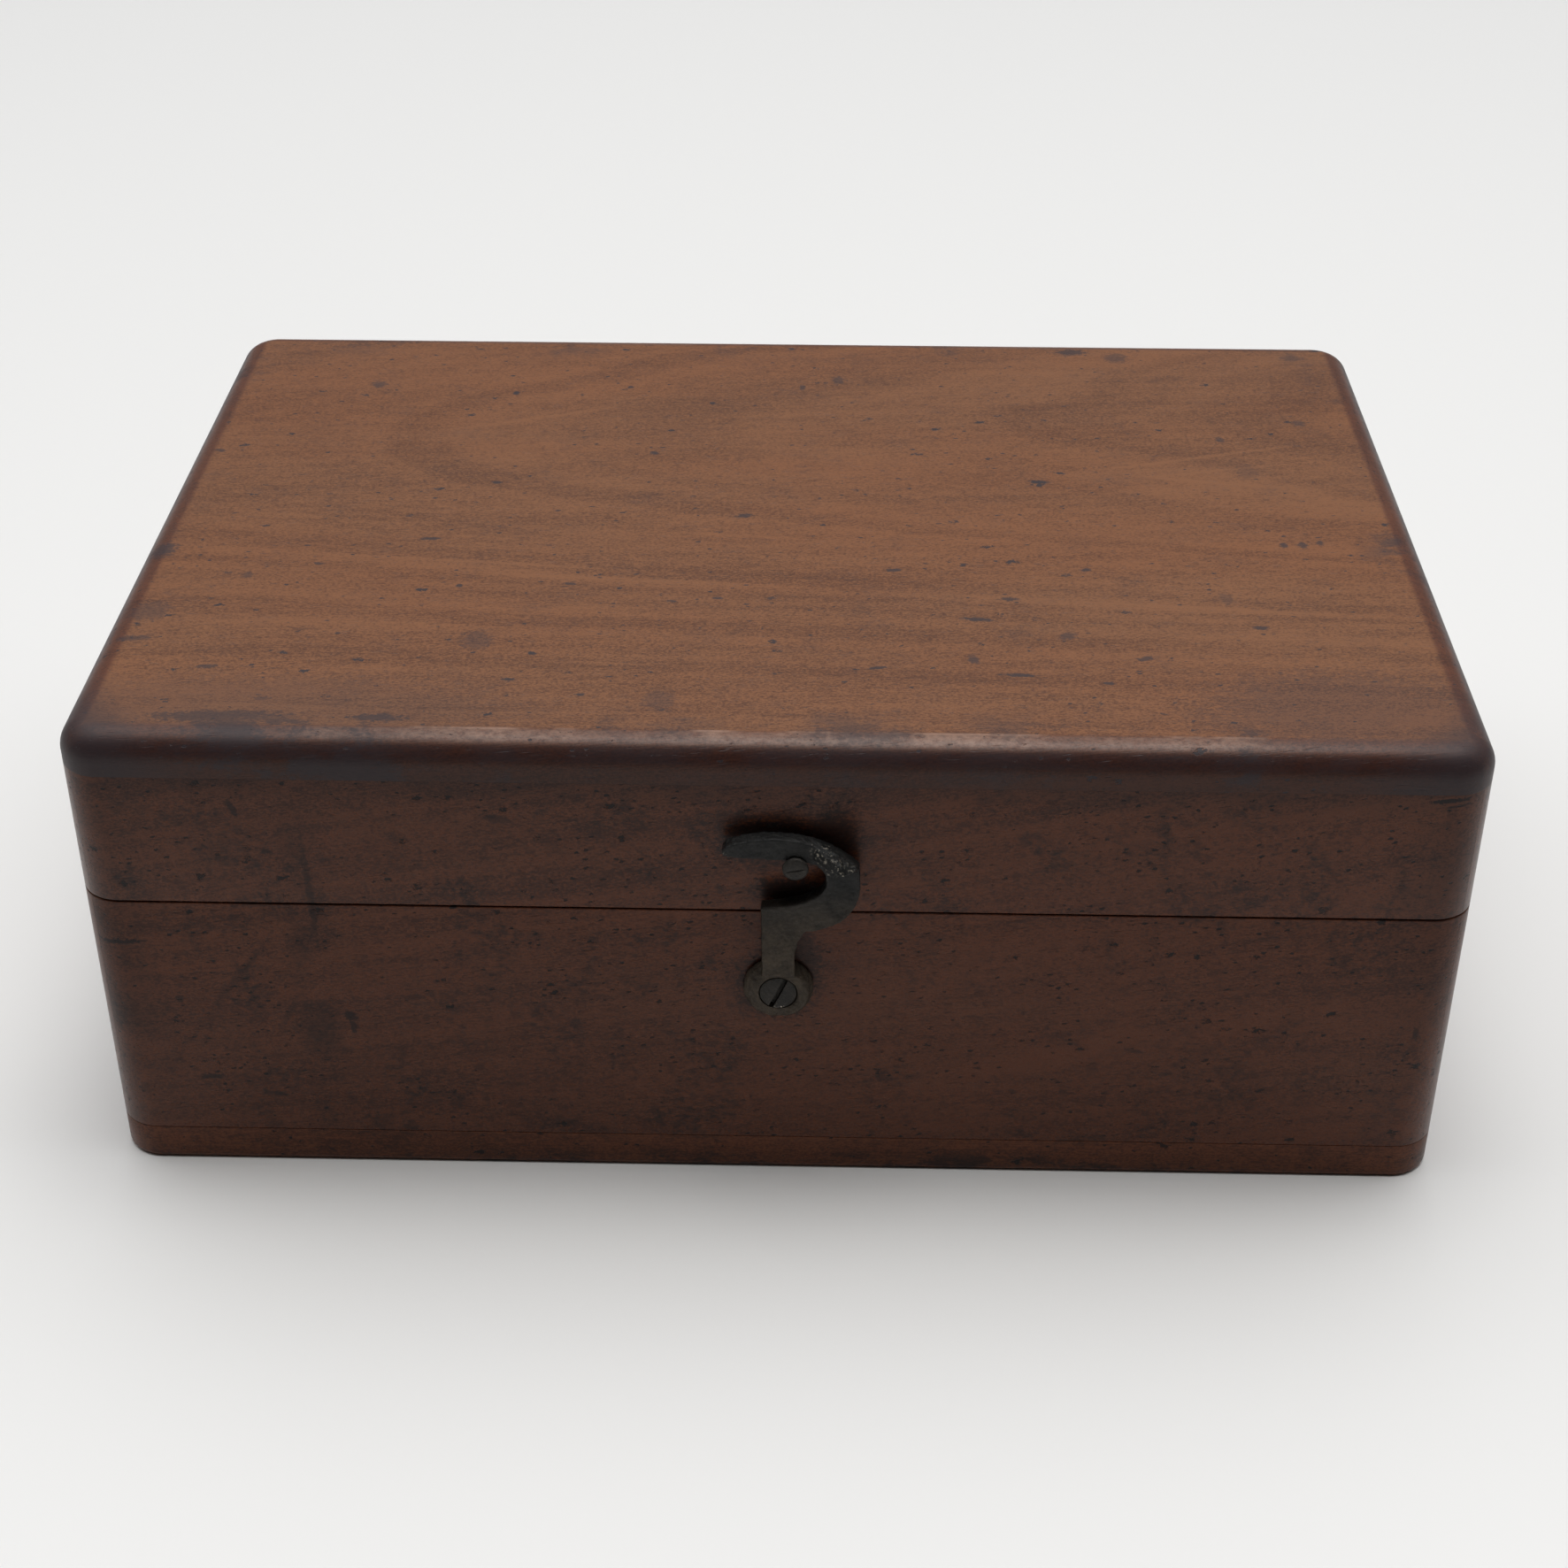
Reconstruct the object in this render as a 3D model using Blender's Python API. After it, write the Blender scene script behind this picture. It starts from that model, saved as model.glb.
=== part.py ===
"""Mahogany tea caddy: rounded box, hinged lid, cast hook latch, two lined compartments.

Metres, +Z up.  Origin: centre of the underside.  The front faces -Y.
"""
import bpy
import bmesh
from math import acos, cos, degrees, pi, radians, sin
from mathutils import Matrix, Vector

# ---------------------------------------------------------------- driving dimensions
WIDTH = 0.254
DEPTH = 0.1786
HEIGHT = 0.0962
SEAM_Z = 0.0613
SEAM_GAP = 0.0005
CORNER_R = 0.0079
TOP_EDGE_R = 0.0055
WALL = 0.0095
TOP_BOARD = 0.0080
BOTTOM_BOARD = 0.0078
BOTTOM_EDGE = 0.0012
GAP = 0.0003                     # left between glued or resting neighbours
OVERCUT = 0.0010                 # how far a cutter reaches past the face it starts from
CORNER_STEPS = 8                 # facets in a quarter of the outline's corner

HINGE_INSET = 0.0015             # hinge axis, in from the back face
LID_OPENING = radians(105)       # the two rear chamfers meet at this angle
HINGE_X = 0.078                  # hinge centres, either side of the middle
HINGE_LENGTH = 0.032
KNUCKLES = 5
KNUCKLE_R = 0.0019
KNUCKLE_BORE_R = 0.00095
HINGE_PIN_R = 0.00086
LEAF_THICKNESS = 0.0011
LEAF_CLEAR = 0.00015             # leaf face to the seam's middle
HINGE_SCREW_X = 0.009            # screws, either side of a hinge's centre
HINGE_SCREW_R = 0.0009
HINGE_SCREW_HEAD_R = 0.0018
HINGE_SCREW_LENGTH = 0.0080
HINGE_SCREW_POINT = 0.0015       # length of a screw's tapered end
HINGE_SLOT = (0.0050, 0.0005, 0.0004)    # length, width and depth of a hinge screw's slot
COUNTERSINK = 0.0010

PARTITION = 0.0060
INNER_LID = 0.0050
INNER_LID_TOP = 0.0560
INNER_LID_CLEAR = 0.0006
LINER_SHEET = 0.0012
KNOB_R = 0.0048
KNOB_HEIGHT = 0.0110
KNOB_PEG_R = 0.0015
KNOB_FOOT = 0.0012               # thickness of the knob's foot
KNOB_NECK = ((0.0026, 0.0021), (0.0021, 0.0036))
KNOB_BALL_R = 0.0040

PIVOT_X = 0.0010
PIVOT_Z = 0.0447
BOSS_R = 0.0066
BOSS_BACK = 0.0003               # distances in front of the front face
BOSS_FRONT = 0.0028
PLATE_BACK = 0.0013
PLATE_FRONT = 0.0042
LUG_FRONT = 0.0085
PIVOT_SCREW_HEAD_R = 0.0035
PIVOT_SCREW_R = 0.0019
PIVOT_CLEAR = 0.0001
PIVOT_SCREW_DEPTH = 0.0082       # how far it reaches into the wood
PIVOT_SCREW_POINT = 0.0030
SCREW_RIM = 0.0003               # straight part of the head, above its countersunk cone
SCREW_CONE = 0.0018              # depth where the cone meets the shaft
SCREW_PROUD = 0.0001             # the head's face stands this far before the boss
PIVOT_SLOT = (0.0080, 0.0009, 0.0008)
PIVOT_SLOT_LEAN = radians(63)
CATCH_X = 0.0031                 # catch pin, from the hook's pivot
CATCH_Z = 0.02915
CATCH_SHAFT_R = 0.0012
CATCH_HEAD_R = 0.0024
CATCH_POINT = 0.0020
CATCH_HEAD_BACK = 0.00435
CATCH_HEAD_FRONT = 0.0053

# ---------------------------------------------------------------- derived places
FRONT_Y = -DEPTH / 2
BACK_Y = DEPTH / 2
BASE_RIM = SEAM_Z - SEAM_GAP / 2
LID_RIM = SEAM_Z + SEAM_GAP / 2
TOP_BOARD_Z = HEIGHT - TOP_BOARD
HINGE_Y = BACK_Y - HINGE_INSET
LEAF_INNER_Y = BACK_Y - WALL + GAP
LEAF_OUTER_Y = HINGE_Y - KNUCKLE_R - GAP
HINGE_SCREW_Y = (LEAF_OUTER_Y + LEAF_INNER_Y) / 2
SCREW_FACE_Y = FRONT_Y - BOSS_FRONT - SCREW_PROUD
INSIDE_X = WIDTH / 2 - WALL
INSIDE_Y = DEPTH / 2 - WALL

MAHOGANY_TOP = (0.22, 0.11, 0.06, 1)
MAHOGANY_CASE = (0.13, 0.055, 0.035, 1)
MAHOGANY_INSIDE = (0.26, 0.12, 0.06, 1)
OLD_BRASS = (0.45, 0.33, 0.15, 1)
DARK_BRASS = (0.06, 0.05, 0.035, 1)
TIN = (0.42, 0.42, 0.40, 1)


# ---------------------------------------------------------------- helpers
def clear_scene():
    for obj in list(bpy.data.objects):
        bpy.data.objects.remove(obj, do_unlink=True)


def finish_material(name, colour, roughness, metallic):
    mat = bpy.data.materials.new(name)
    mat.use_nodes = True
    shader = mat.node_tree.nodes["Principled BSDF"]
    shader.inputs["Base Color"].default_value = colour
    shader.inputs["Roughness"].default_value = roughness
    shader.inputs["Metallic"].default_value = metallic
    return mat


def wood(name, colour):
    return finish_material(name, colour, 0.38, 0.0)


def metal(name, colour, roughness=0.35):
    return finish_material(name, colour, roughness, 1.0)


def axis_empty(name, place):
    empty = bpy.data.objects.new(name, None)
    empty.location = place
    bpy.context.scene.collection.objects.link(empty)
    return empty


def add_piece(name, bm, mat, carrier, smooth=False):
    """Turn a bmesh in world coordinates into a named object carried by an empty."""
    bmesh.ops.recalc_face_normals(bm, faces=bm.faces[:])
    bmesh.ops.translate(bm, verts=bm.verts[:], vec=-carrier.location)
    mesh = bpy.data.meshes.new(name)
    bm.to_mesh(mesh)
    bm.free()
    if smooth:
        mesh.shade_smooth()
        mesh.set_sharp_from_angle(angle=radians(35))
    obj = bpy.data.objects.new(name, mesh)
    obj.parent = carrier
    if mat:
        mesh.materials.append(mat)
    bpy.context.scene.collection.objects.link(obj)
    return obj


def boolean(obj, tool_bm, operation, carrier):
    """Cut or join a tool shape; the tool stays in the scene, hidden from renders."""
    tool = add_piece(obj.name + "_tool", tool_bm, None, carrier)
    tool.hide_render = True
    tool.display_type = "WIRE"
    modifier = obj.modifiers.new(operation.title(), "BOOLEAN")
    modifier.operation = operation
    modifier.solver = "EXACT"
    modifier.object = tool


def prism(outline, bottom, top):
    """A solid from a plan outline of (x, y) points."""
    bm = bmesh.new()
    face = bm.faces.new([bm.verts.new((x, y, bottom)) for x, y in outline])
    raised = bmesh.ops.extrude_face_region(bm, geom=[face])["geom"]
    lifted = [v for v in raised if isinstance(v, bmesh.types.BMVert)]
    bmesh.ops.translate(bm, verts=lifted, vec=(0, 0, top - bottom))
    return bm


def plate(outline, back, front):
    """A solid from a front-view outline of (x, z) points, between two depths before the front face."""
    bm = prism(outline, back, front)
    stand_up = Matrix(((1, 0, 0, 0), (0, 0, -1, FRONT_Y), (0, 1, 0, 0), (0, 0, 0, 1)))
    bmesh.ops.transform(bm, matrix=stand_up, verts=bm.verts[:])
    return bm


def block(low, high):
    outline = [(low[0], low[1]), (high[0], low[1]), (high[0], high[1]), (low[0], high[1])]
    return prism(outline, low[2], high[2])


def arc(centre, radius, start, end, steps):
    """Points on an arc, angles in degrees from +X."""
    turns = [radians(start + (end - start) * i / steps) for i in range(steps + 1)]
    return [(centre[0] + radius * cos(a), centre[1] + radius * sin(a)) for a in turns]


def turned(profile, place, direction, steps=16):
    """Revolve (radius, height) points about +Z, then stand the shape at a place along a direction."""
    bm = bmesh.new()
    verts = [bm.verts.new((radius, 0, height)) for radius, height in profile]
    edges = [bm.edges.new(pair) for pair in zip(verts, verts[1:])]
    bmesh.ops.spin(bm, geom=verts + edges, cent=(0, 0, 0), axis=(0, 0, 1),
                   angle=2 * pi, steps=steps, use_merge=True)
    bmesh.ops.remove_doubles(bm, verts=bm.verts[:], dist=1e-6)
    turn = Vector((0, 0, 1)).rotation_difference(Vector(direction)).to_matrix().to_4x4()
    bmesh.ops.transform(bm, matrix=Matrix.Translation(place) @ turn, verts=bm.verts[:])
    return bm


def rod(radius, place, direction, length, steps=16):
    return turned([(0, 0), (radius, 0), (radius, length), (0, length)], place, direction, steps)


def trim(bm, point, normal):
    """Saw off everything beyond a plane and close the cut."""
    parts = bm.verts[:] + bm.edges[:] + bm.faces[:]
    cut = bmesh.ops.bisect_plane(bm, geom=parts, plane_co=point, plane_no=normal,
                                 clear_outer=True)["geom_cut"]
    edges = [e for e in cut if isinstance(e, bmesh.types.BMEdge)]
    bmesh.ops.contextual_create(bm, geom=edges)


# ---------------------------------------------------------------- case boards
def case_outline():
    """Plan of the closed box: a rectangle with rounded corners."""
    x = WIDTH / 2 - CORNER_R
    y = DEPTH / 2 - CORNER_R
    outline = []
    for centre, start in (((x, y), 0), ((-x, y), 90), ((-x, -y), 180), ((x, -y), 270)):
        outline += arc(centre, CORNER_R, start, start + 90, CORNER_STEPS)
    return outline


def side_board(side, bottom, top):
    """One mitred wall board; side is the plan direction it faces."""
    bm = prism(case_outline(), bottom, top)
    face = Vector((side[0], side[1], 0))
    along = Vector((-side[1], side[0], 0))
    half = Vector((WIDTH / 2, DEPTH / 2, 0))
    reach = abs(face.dot(half))
    trim(bm, face * (reach - WALL), -face)
    for end in (1, -1):
        corner = face * reach + along * end * abs(along.dot(half))
        outward = (along * end - face).normalized()
        trim(bm, corner - outward * GAP / 2, outward)
    return bm


SIDES = {"front": (0, -1), "back": (0, 1), "left": (-1, 0), "right": (1, 0)}


def chamfer_back(bm, upward):
    """Slope the rear arris, so that lid and base meet there when the lid is fully open."""
    slope = LID_OPENING / 2
    normal = Vector((0, sin(slope), -upward * cos(slope)))
    trim(bm, Vector((0, HINGE_Y, SEAM_Z)) - normal * GAP / 4, normal)


def hinge_mortise(obj, x, upward, carrier):
    """House a leaf, its knuckles and its two screws in a back board."""
    half = HINGE_LENGTH / 2 + GAP
    leaf = sorted((SEAM_Z - upward * LEAF_CLEAR * 4,
                   SEAM_Z + upward * (LEAF_CLEAR + LEAF_THICKNESS + GAP)))
    low = (x - half, BACK_Y - WALL - OVERCUT, leaf[0])
    boolean(obj, block(low, (x + half, HINGE_Y, leaf[1])), "DIFFERENCE", carrier)
    knuckle = rod(KNUCKLE_R + GAP, (x - half, HINGE_Y, SEAM_Z), (1, 0, 0), 2 * half, 20)
    boolean(obj, knuckle, "DIFFERENCE", carrier)
    for end in (1, -1):
        place = (x + end * HINGE_SCREW_X, HINGE_SCREW_Y, SEAM_Z)
        hole = rod(HINGE_SCREW_R + GAP, place, (0, 0, upward), HINGE_SCREW_LENGTH + OVERCUT, 10)
        boolean(obj, hole, "DIFFERENCE", carrier)


def make_walls(prefix, bottom, top, carrier, upward):
    boards = {}
    for side, direction in SIDES.items():
        bm = side_board(direction, bottom, top)
        if side == "back":
            chamfer_back(bm, upward)
        name = prefix + "_" + side + "_board"
        boards[side] = add_piece(name, bm, wood(name, MAHOGANY_CASE), carrier)
    for end in (1, -1):
        hinge_mortise(boards["back"], end * HINGE_X, upward, carrier)
    return boards


def make_top_board(carrier):
    bm = prism(case_outline(), TOP_BOARD_Z, HEIGHT)
    rim = [e for e in bm.edges if all(v.co.z > HEIGHT - 1e-6 for v in e.verts)]
    bmesh.ops.bevel(bm, geom=rim, offset=TOP_EDGE_R, segments=6, profile=0.5,
                    affect="EDGES", material=-1)
    add_piece("lid_top_board", bm, wood("lid_top_board", MAHOGANY_TOP), carrier, smooth=True)


def make_bottom_board(carrier):
    bm = prism(case_outline(), 0, BOTTOM_BOARD)
    rim = [e for e in bm.edges if all(v.co.z < 1e-6 for v in e.verts)]
    bmesh.ops.bevel(bm, geom=rim, offset=BOTTOM_EDGE, segments=2, profile=0.5,
                    affect="EDGES", material=-1)
    add_piece("bottom_board", bm, wood("bottom_board", MAHOGANY_CASE), carrier)


# ---------------------------------------------------------------- hinges
def knuckle_span(x, number):
    """Low and high x of one knuckle, a little short where it meets the other leaf's."""
    segment = HINGE_LENGTH / KNUCKLES
    start = x - HINGE_LENGTH / 2 + number * segment
    low = start + (LEAF_CLEAR / 2 if number > 0 else 0)
    high = start + segment - (LEAF_CLEAR / 2 if number < KNUCKLES - 1 else 0)
    return low, high


def leaf_outline(x, own):
    """Plan of a leaf: a plate whose rear edge reaches the axis only at its own knuckles."""
    half = HINGE_LENGTH / 2
    edge = LEAF_OUTER_Y
    outline = [(x - half, LEAF_INNER_Y), (x + half, LEAF_INNER_Y)]
    if KNUCKLES - 1 not in own:
        outline.append((x + half, edge))
    for number in reversed(own):
        low, high = knuckle_span(x, number)
        outline += [(high, edge)] if number < KNUCKLES - 1 else []
        outline += [(high, HINGE_Y), (low, HINGE_Y)]
        outline += [(low, edge)] if number > 0 else []
    if 0 not in own:
        outline.append((x - half, edge))
    return outline


def hinge_leaf(name, x, upward, carrier):
    """A brass butt leaf: plate, its share of the knuckles, bore and two countersunk holes."""
    own = list(range(1 if upward > 0 else 0, KNUCKLES, 2))
    heights = sorted((SEAM_Z + upward * LEAF_CLEAR, SEAM_Z + upward * (LEAF_CLEAR + LEAF_THICKNESS)))
    bm = prism(leaf_outline(x, own), heights[0], heights[1])
    leaf = add_piece(name, bm, metal(name, OLD_BRASS), carrier, smooth=True)
    for end in (1, -1):
        place = (x + end * HINGE_SCREW_X, HINGE_SCREW_Y, SEAM_Z + upward * LEAF_CLEAR)
        hole_r = HINGE_SCREW_R + GAP / 2
        profile = [(0, -GAP), (HINGE_SCREW_HEAD_R + GAP, -GAP), (hole_r, COUNTERSINK),
                   (hole_r, COUNTERSINK + OVERCUT), (0, COUNTERSINK + OVERCUT)]
        boolean(leaf, turned(profile, place, (0, 0, upward)), "DIFFERENCE", carrier)
    for number in own:
        low, high = knuckle_span(x, number)
        barrel = rod(KNUCKLE_R, (low, HINGE_Y, SEAM_Z), (1, 0, 0), high - low, 18)
        boolean(leaf, barrel, "UNION", carrier)
    start = x - HINGE_LENGTH / 2 - GAP
    bore = rod(KNUCKLE_BORE_R, (start, HINGE_Y, SEAM_Z), (1, 0, 0), HINGE_LENGTH + 2 * GAP, 18)
    boolean(leaf, bore, "DIFFERENCE", carrier)


def saw_slot(screw, place, turn, slot, carrier):
    """Saw a driver slot across a screw's head; unturned, the head faces up and the slot lies along X."""
    half = Vector((slot[0] / 2, slot[1] / 2, slot[2]))
    bm = block(-half, half)
    bmesh.ops.transform(bm, matrix=Matrix.Translation(place) @ turn, verts=bm.verts[:])
    boolean(screw, bm, "DIFFERENCE", carrier)


def hinge_screw(name, x, upward, carrier):
    place = (x, HINGE_SCREW_Y, SEAM_Z + upward * LEAF_CLEAR)
    profile = [(0, 0), (HINGE_SCREW_HEAD_R, 0), (HINGE_SCREW_R, COUNTERSINK),
               (HINGE_SCREW_R, HINGE_SCREW_LENGTH - HINGE_SCREW_POINT), (0, HINGE_SCREW_LENGTH)]
    bm = turned(profile, place, (0, 0, upward), 14)
    screw = add_piece(name, bm, metal(name, OLD_BRASS), carrier, smooth=True)
    saw_slot(screw, place, Matrix.Identity(4), HINGE_SLOT, carrier)


def make_hinge(side, x, base, lid):
    hinge_leaf(side + "_hinge_upper_leaf", x, 1, lid)
    hinge_leaf(side + "_hinge_lower_leaf", x, -1, base)
    pin = rod(HINGE_PIN_R, (x - HINGE_LENGTH / 2, HINGE_Y, SEAM_Z), (1, 0, 0), HINGE_LENGTH, 16)
    name = side + "_hinge_pin"
    add_piece(name, pin, metal(name, OLD_BRASS), base, smooth=True)
    for level, upward, carrier in (("upper", 1, lid), ("lower", -1, base)):
        for number, end in ((1, -1), (2, 1)):
            hinge_screw(side + "_hinge_" + level + "_screw_" + str(number),
                        x + end * HINGE_SCREW_X, upward, carrier)


# ---------------------------------------------------------------- inside
def compartment_span(side):
    """Low and high x of a compartment's clear space between partition and end wall."""
    near = PARTITION / 2
    return (near, INSIDE_X) if side > 0 else (-INSIDE_X, -near)


def make_partition(carrier):
    half_y = INSIDE_Y - GAP
    bm = block((-PARTITION / 2, -half_y, BOTTOM_BOARD + GAP), (PARTITION / 2, half_y, INNER_LID_TOP))
    add_piece("centre_partition", bm, wood("centre_partition", MAHOGANY_INSIDE), carrier)


def make_liner(side, word, carrier):
    """A folded tinplate tray, open at the top, whose rim carries the inner lid."""
    low_x, high_x = compartment_span(side)
    half_y = INSIDE_Y - GAP
    rim = INNER_LID_TOP - INNER_LID - GAP
    bm = block((low_x + GAP, -half_y, BOTTOM_BOARD + GAP), (high_x - GAP, half_y, rim))
    top = [f for f in bm.faces if f.calc_center_median().z > rim - 1e-6]
    bmesh.ops.inset_region(bm, faces=top, thickness=LINER_SHEET, use_even_offset=True)
    floor = bmesh.ops.extrude_face_region(bm, geom=top)["geom"]
    bmesh.ops.delete(bm, geom=top, context="FACES")
    moved = [v for v in floor if isinstance(v, bmesh.types.BMVert)]
    drop = rim - (BOTTOM_BOARD + GAP + LINER_SHEET)
    bmesh.ops.translate(bm, verts=moved, vec=(0, 0, -drop))
    name = word + "_tin_liner"
    add_piece(name, bm, metal(name, TIN, 0.45), carrier)


def make_inner_lid(side, word, carrier):
    low_x, high_x = compartment_span(side)
    half_y = INSIDE_Y - INNER_LID_CLEAR
    low = (low_x + INNER_LID_CLEAR, -half_y, INNER_LID_TOP - INNER_LID)
    high = (high_x - INNER_LID_CLEAR, half_y, INNER_LID_TOP)
    name = word + "_inner_lid"
    lid = add_piece(name, block(low, high), wood(name, MAHOGANY_INSIDE), carrier)
    under = ((low_x + high_x) / 2, 0, low[2] - OVERCUT)
    hole = rod(KNOB_PEG_R + GAP, under, (0, 0, 1), INNER_LID + 2 * OVERCUT)
    boolean(lid, hole, "DIFFERENCE", carrier)


def make_knob(side, word, carrier):
    """A turned knob: foot, waist and ball, with a peg down into the inner lid."""
    low_x, high_x = compartment_span(side)
    profile = [(0, -INNER_LID + GAP), (KNOB_PEG_R, -INNER_LID + GAP), (KNOB_PEG_R, GAP),
               (KNOB_R, GAP), (KNOB_R, KNOB_FOOT), *KNOB_NECK]
    profile += arc((0, KNOB_HEIGHT - KNOB_BALL_R), KNOB_BALL_R, -55, 90, 9)[:-1]
    profile += [(0, KNOB_HEIGHT)]
    bm = turned(profile, ((low_x + high_x) / 2, 0, INNER_LID_TOP), (0, 0, 1), 20)
    name = word + "_knob"
    add_piece(name, bm, metal(name, OLD_BRASS), carrier, smooth=True)


# ---------------------------------------------------------------- hook latch
def hook_outline():
    """Shank, bowl and arm of the question-mark hook, (x, z) from its pivot."""
    shank_left = -0.0030
    outer_bowl = arc((0.0055, 0.0243), 0.0091, -97, 12, 12)
    arm_top = arc((-0.0008, 0.0134), 0.0216, 47, 112, 10)
    arm_tip = [(-0.0098, 0.0325), (-0.0096, 0.0312)]
    arm_under = [(-0.0066, 0.0308), (0.0012, 0.0307), (0.0040, 0.0305)]
    throat = arc((0.0046, 0.0258), 0.0040, 62, -78, 9)
    shoulder = [(0.0020, 0.0208), (shank_left, 0.0200)]
    right_edge = [(0.0031, 0.0030), (0.0030, 0.0100), (0.0036, 0.0128)]
    return (right_edge + outer_bowl + arm_top + arm_tip + arm_under
            + throat + shoulder + [(shank_left, 0.0030)])


def place_at_pivot(points):
    return [(PIVOT_X + x, PIVOT_Z + z) for x, z in points]


def make_hook(carrier):
    boss = plate(place_at_pivot(arc((0, 0), BOSS_R, 0, 345, 23)), BOSS_BACK, BOSS_FRONT)
    name = "hook_latch"
    hook = add_piece(name, boss, metal(name, DARK_BRASS, 0.55), carrier, smooth=True)
    boolean(hook, plate(place_at_pivot(hook_outline()), PLATE_BACK, PLATE_FRONT), "UNION", carrier)
    lug = [(0.0076, 0.0314), (0.0112, 0.0301), (0.0139, 0.0294), (0.0128, 0.0306), (0.0096, 0.0324),
           (0.0076, 0.0330)]
    boolean(hook, plate(place_at_pivot(lug), PLATE_BACK + GAP, LUG_FRONT), "UNION", carrier)
    shaft_r = PIVOT_SCREW_R + PIVOT_CLEAR
    head_r = PIVOT_SCREW_HEAD_R + PIVOT_CLEAR
    before, behind = -PLATE_FRONT, PLATE_FRONT + OVERCUT
    seat = [(0, before), (head_r, before), (head_r, SCREW_RIM + PIVOT_CLEAR), (shaft_r, SCREW_CONE),
            (shaft_r, behind), (0, behind)]
    boolean(hook, turned(seat, (PIVOT_X, SCREW_FACE_Y, PIVOT_Z), (0, 1, 0), 24), "DIFFERENCE", carrier)


def make_pivot_screw(carrier):
    length = BOSS_FRONT + PIVOT_SCREW_DEPTH
    profile = [(0, 0), (PIVOT_SCREW_HEAD_R, 0), (PIVOT_SCREW_HEAD_R, SCREW_RIM), (PIVOT_SCREW_R, SCREW_CONE),
               (PIVOT_SCREW_R, length - PIVOT_SCREW_POINT), (0, length)]
    name = "hook_pivot_screw"
    place = (PIVOT_X, SCREW_FACE_Y, PIVOT_Z)
    screw = add_piece(name, turned(profile, place, (0, 1, 0), 24), metal(name, DARK_BRASS), carrier,
                      smooth=True)
    lean = Matrix.Rotation(-PIVOT_SLOT_LEAN, 4, "Y") @ Matrix.Rotation(pi / 2, 4, "X")
    saw_slot(screw, place, lean, PIVOT_SLOT, carrier)


def make_catch_pin(carrier):
    """Round-headed screw in the lid's front, which the hook's arm holds down."""
    height = CATCH_HEAD_FRONT - CATCH_HEAD_BACK
    dome_r = (CATCH_HEAD_R ** 2 + height ** 2) / (2 * height)
    spread = degrees(acos((dome_r - height) / dome_r))
    dome = arc((0, 0), dome_r, 90, 90 - spread, 6)
    profile = [(x, dome_r - z) for x, z in dome]
    profile[0] = (0, 0)
    length = CATCH_HEAD_FRONT + PIVOT_SCREW_DEPTH
    profile += [(CATCH_SHAFT_R, height), (CATCH_SHAFT_R, length - CATCH_POINT), (0, length)]
    place = (PIVOT_X + CATCH_X, FRONT_Y - CATCH_HEAD_FRONT, PIVOT_Z + CATCH_Z)
    name = "catch_pin"
    add_piece(name, turned(profile, place, (0, 1, 0), 18), metal(name, DARK_BRASS), carrier, smooth=True)


def drill_front(board, x, z, radius, carrier):
    """Drill a screw's hole from the front face."""
    bm = rod(radius, (x, FRONT_Y - OVERCUT, z), (0, 1, 0), PIVOT_SCREW_DEPTH + OVERCUT + GAP, 16)
    boolean(board, bm, "DIFFERENCE", carrier)


# ---------------------------------------------------------------- assembly
def build():
    clear_scene()
    base = axis_empty("base_axis", Vector((0, 0, 0)))
    lid = axis_empty("lid_axis", Vector((0, HINGE_Y, SEAM_Z)))
    hook = axis_empty("hook_axis", Vector((PIVOT_X, FRONT_Y, PIVOT_Z)))

    make_bottom_board(base)
    base_boards = make_walls("base", BOTTOM_BOARD + GAP, BASE_RIM, base, -1)
    lid_boards = make_walls("lid", LID_RIM, TOP_BOARD_Z - GAP, lid, 1)
    make_top_board(lid)

    for side, x in (("left", -HINGE_X), ("right", HINGE_X)):
        make_hinge(side, x, base, lid)

    make_partition(base)
    for side, word in ((-1, "left"), (1, "right")):
        lift = axis_empty(word + "_inner_lid_axis", Vector((side * INSIDE_X / 2, 0, INNER_LID_TOP)))
        make_liner(side, word, base)
        make_inner_lid(side, word, lift)
        make_knob(side, word, lift)

    make_hook(hook)
    make_pivot_screw(base)
    make_catch_pin(lid)
    drill_front(base_boards["front"], PIVOT_X, PIVOT_Z, PIVOT_SCREW_R + GAP, base)
    drill_front(lid_boards["front"], PIVOT_X + CATCH_X, PIVOT_Z + CATCH_Z, CATCH_SHAFT_R + GAP, lid)


build()
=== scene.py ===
"""A mahogany tea caddy with a cast hook latch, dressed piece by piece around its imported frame."""
import bpy
import bmesh
from math import cos, pi, radians, sin
from mathutils import Matrix, Vector, noise


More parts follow.
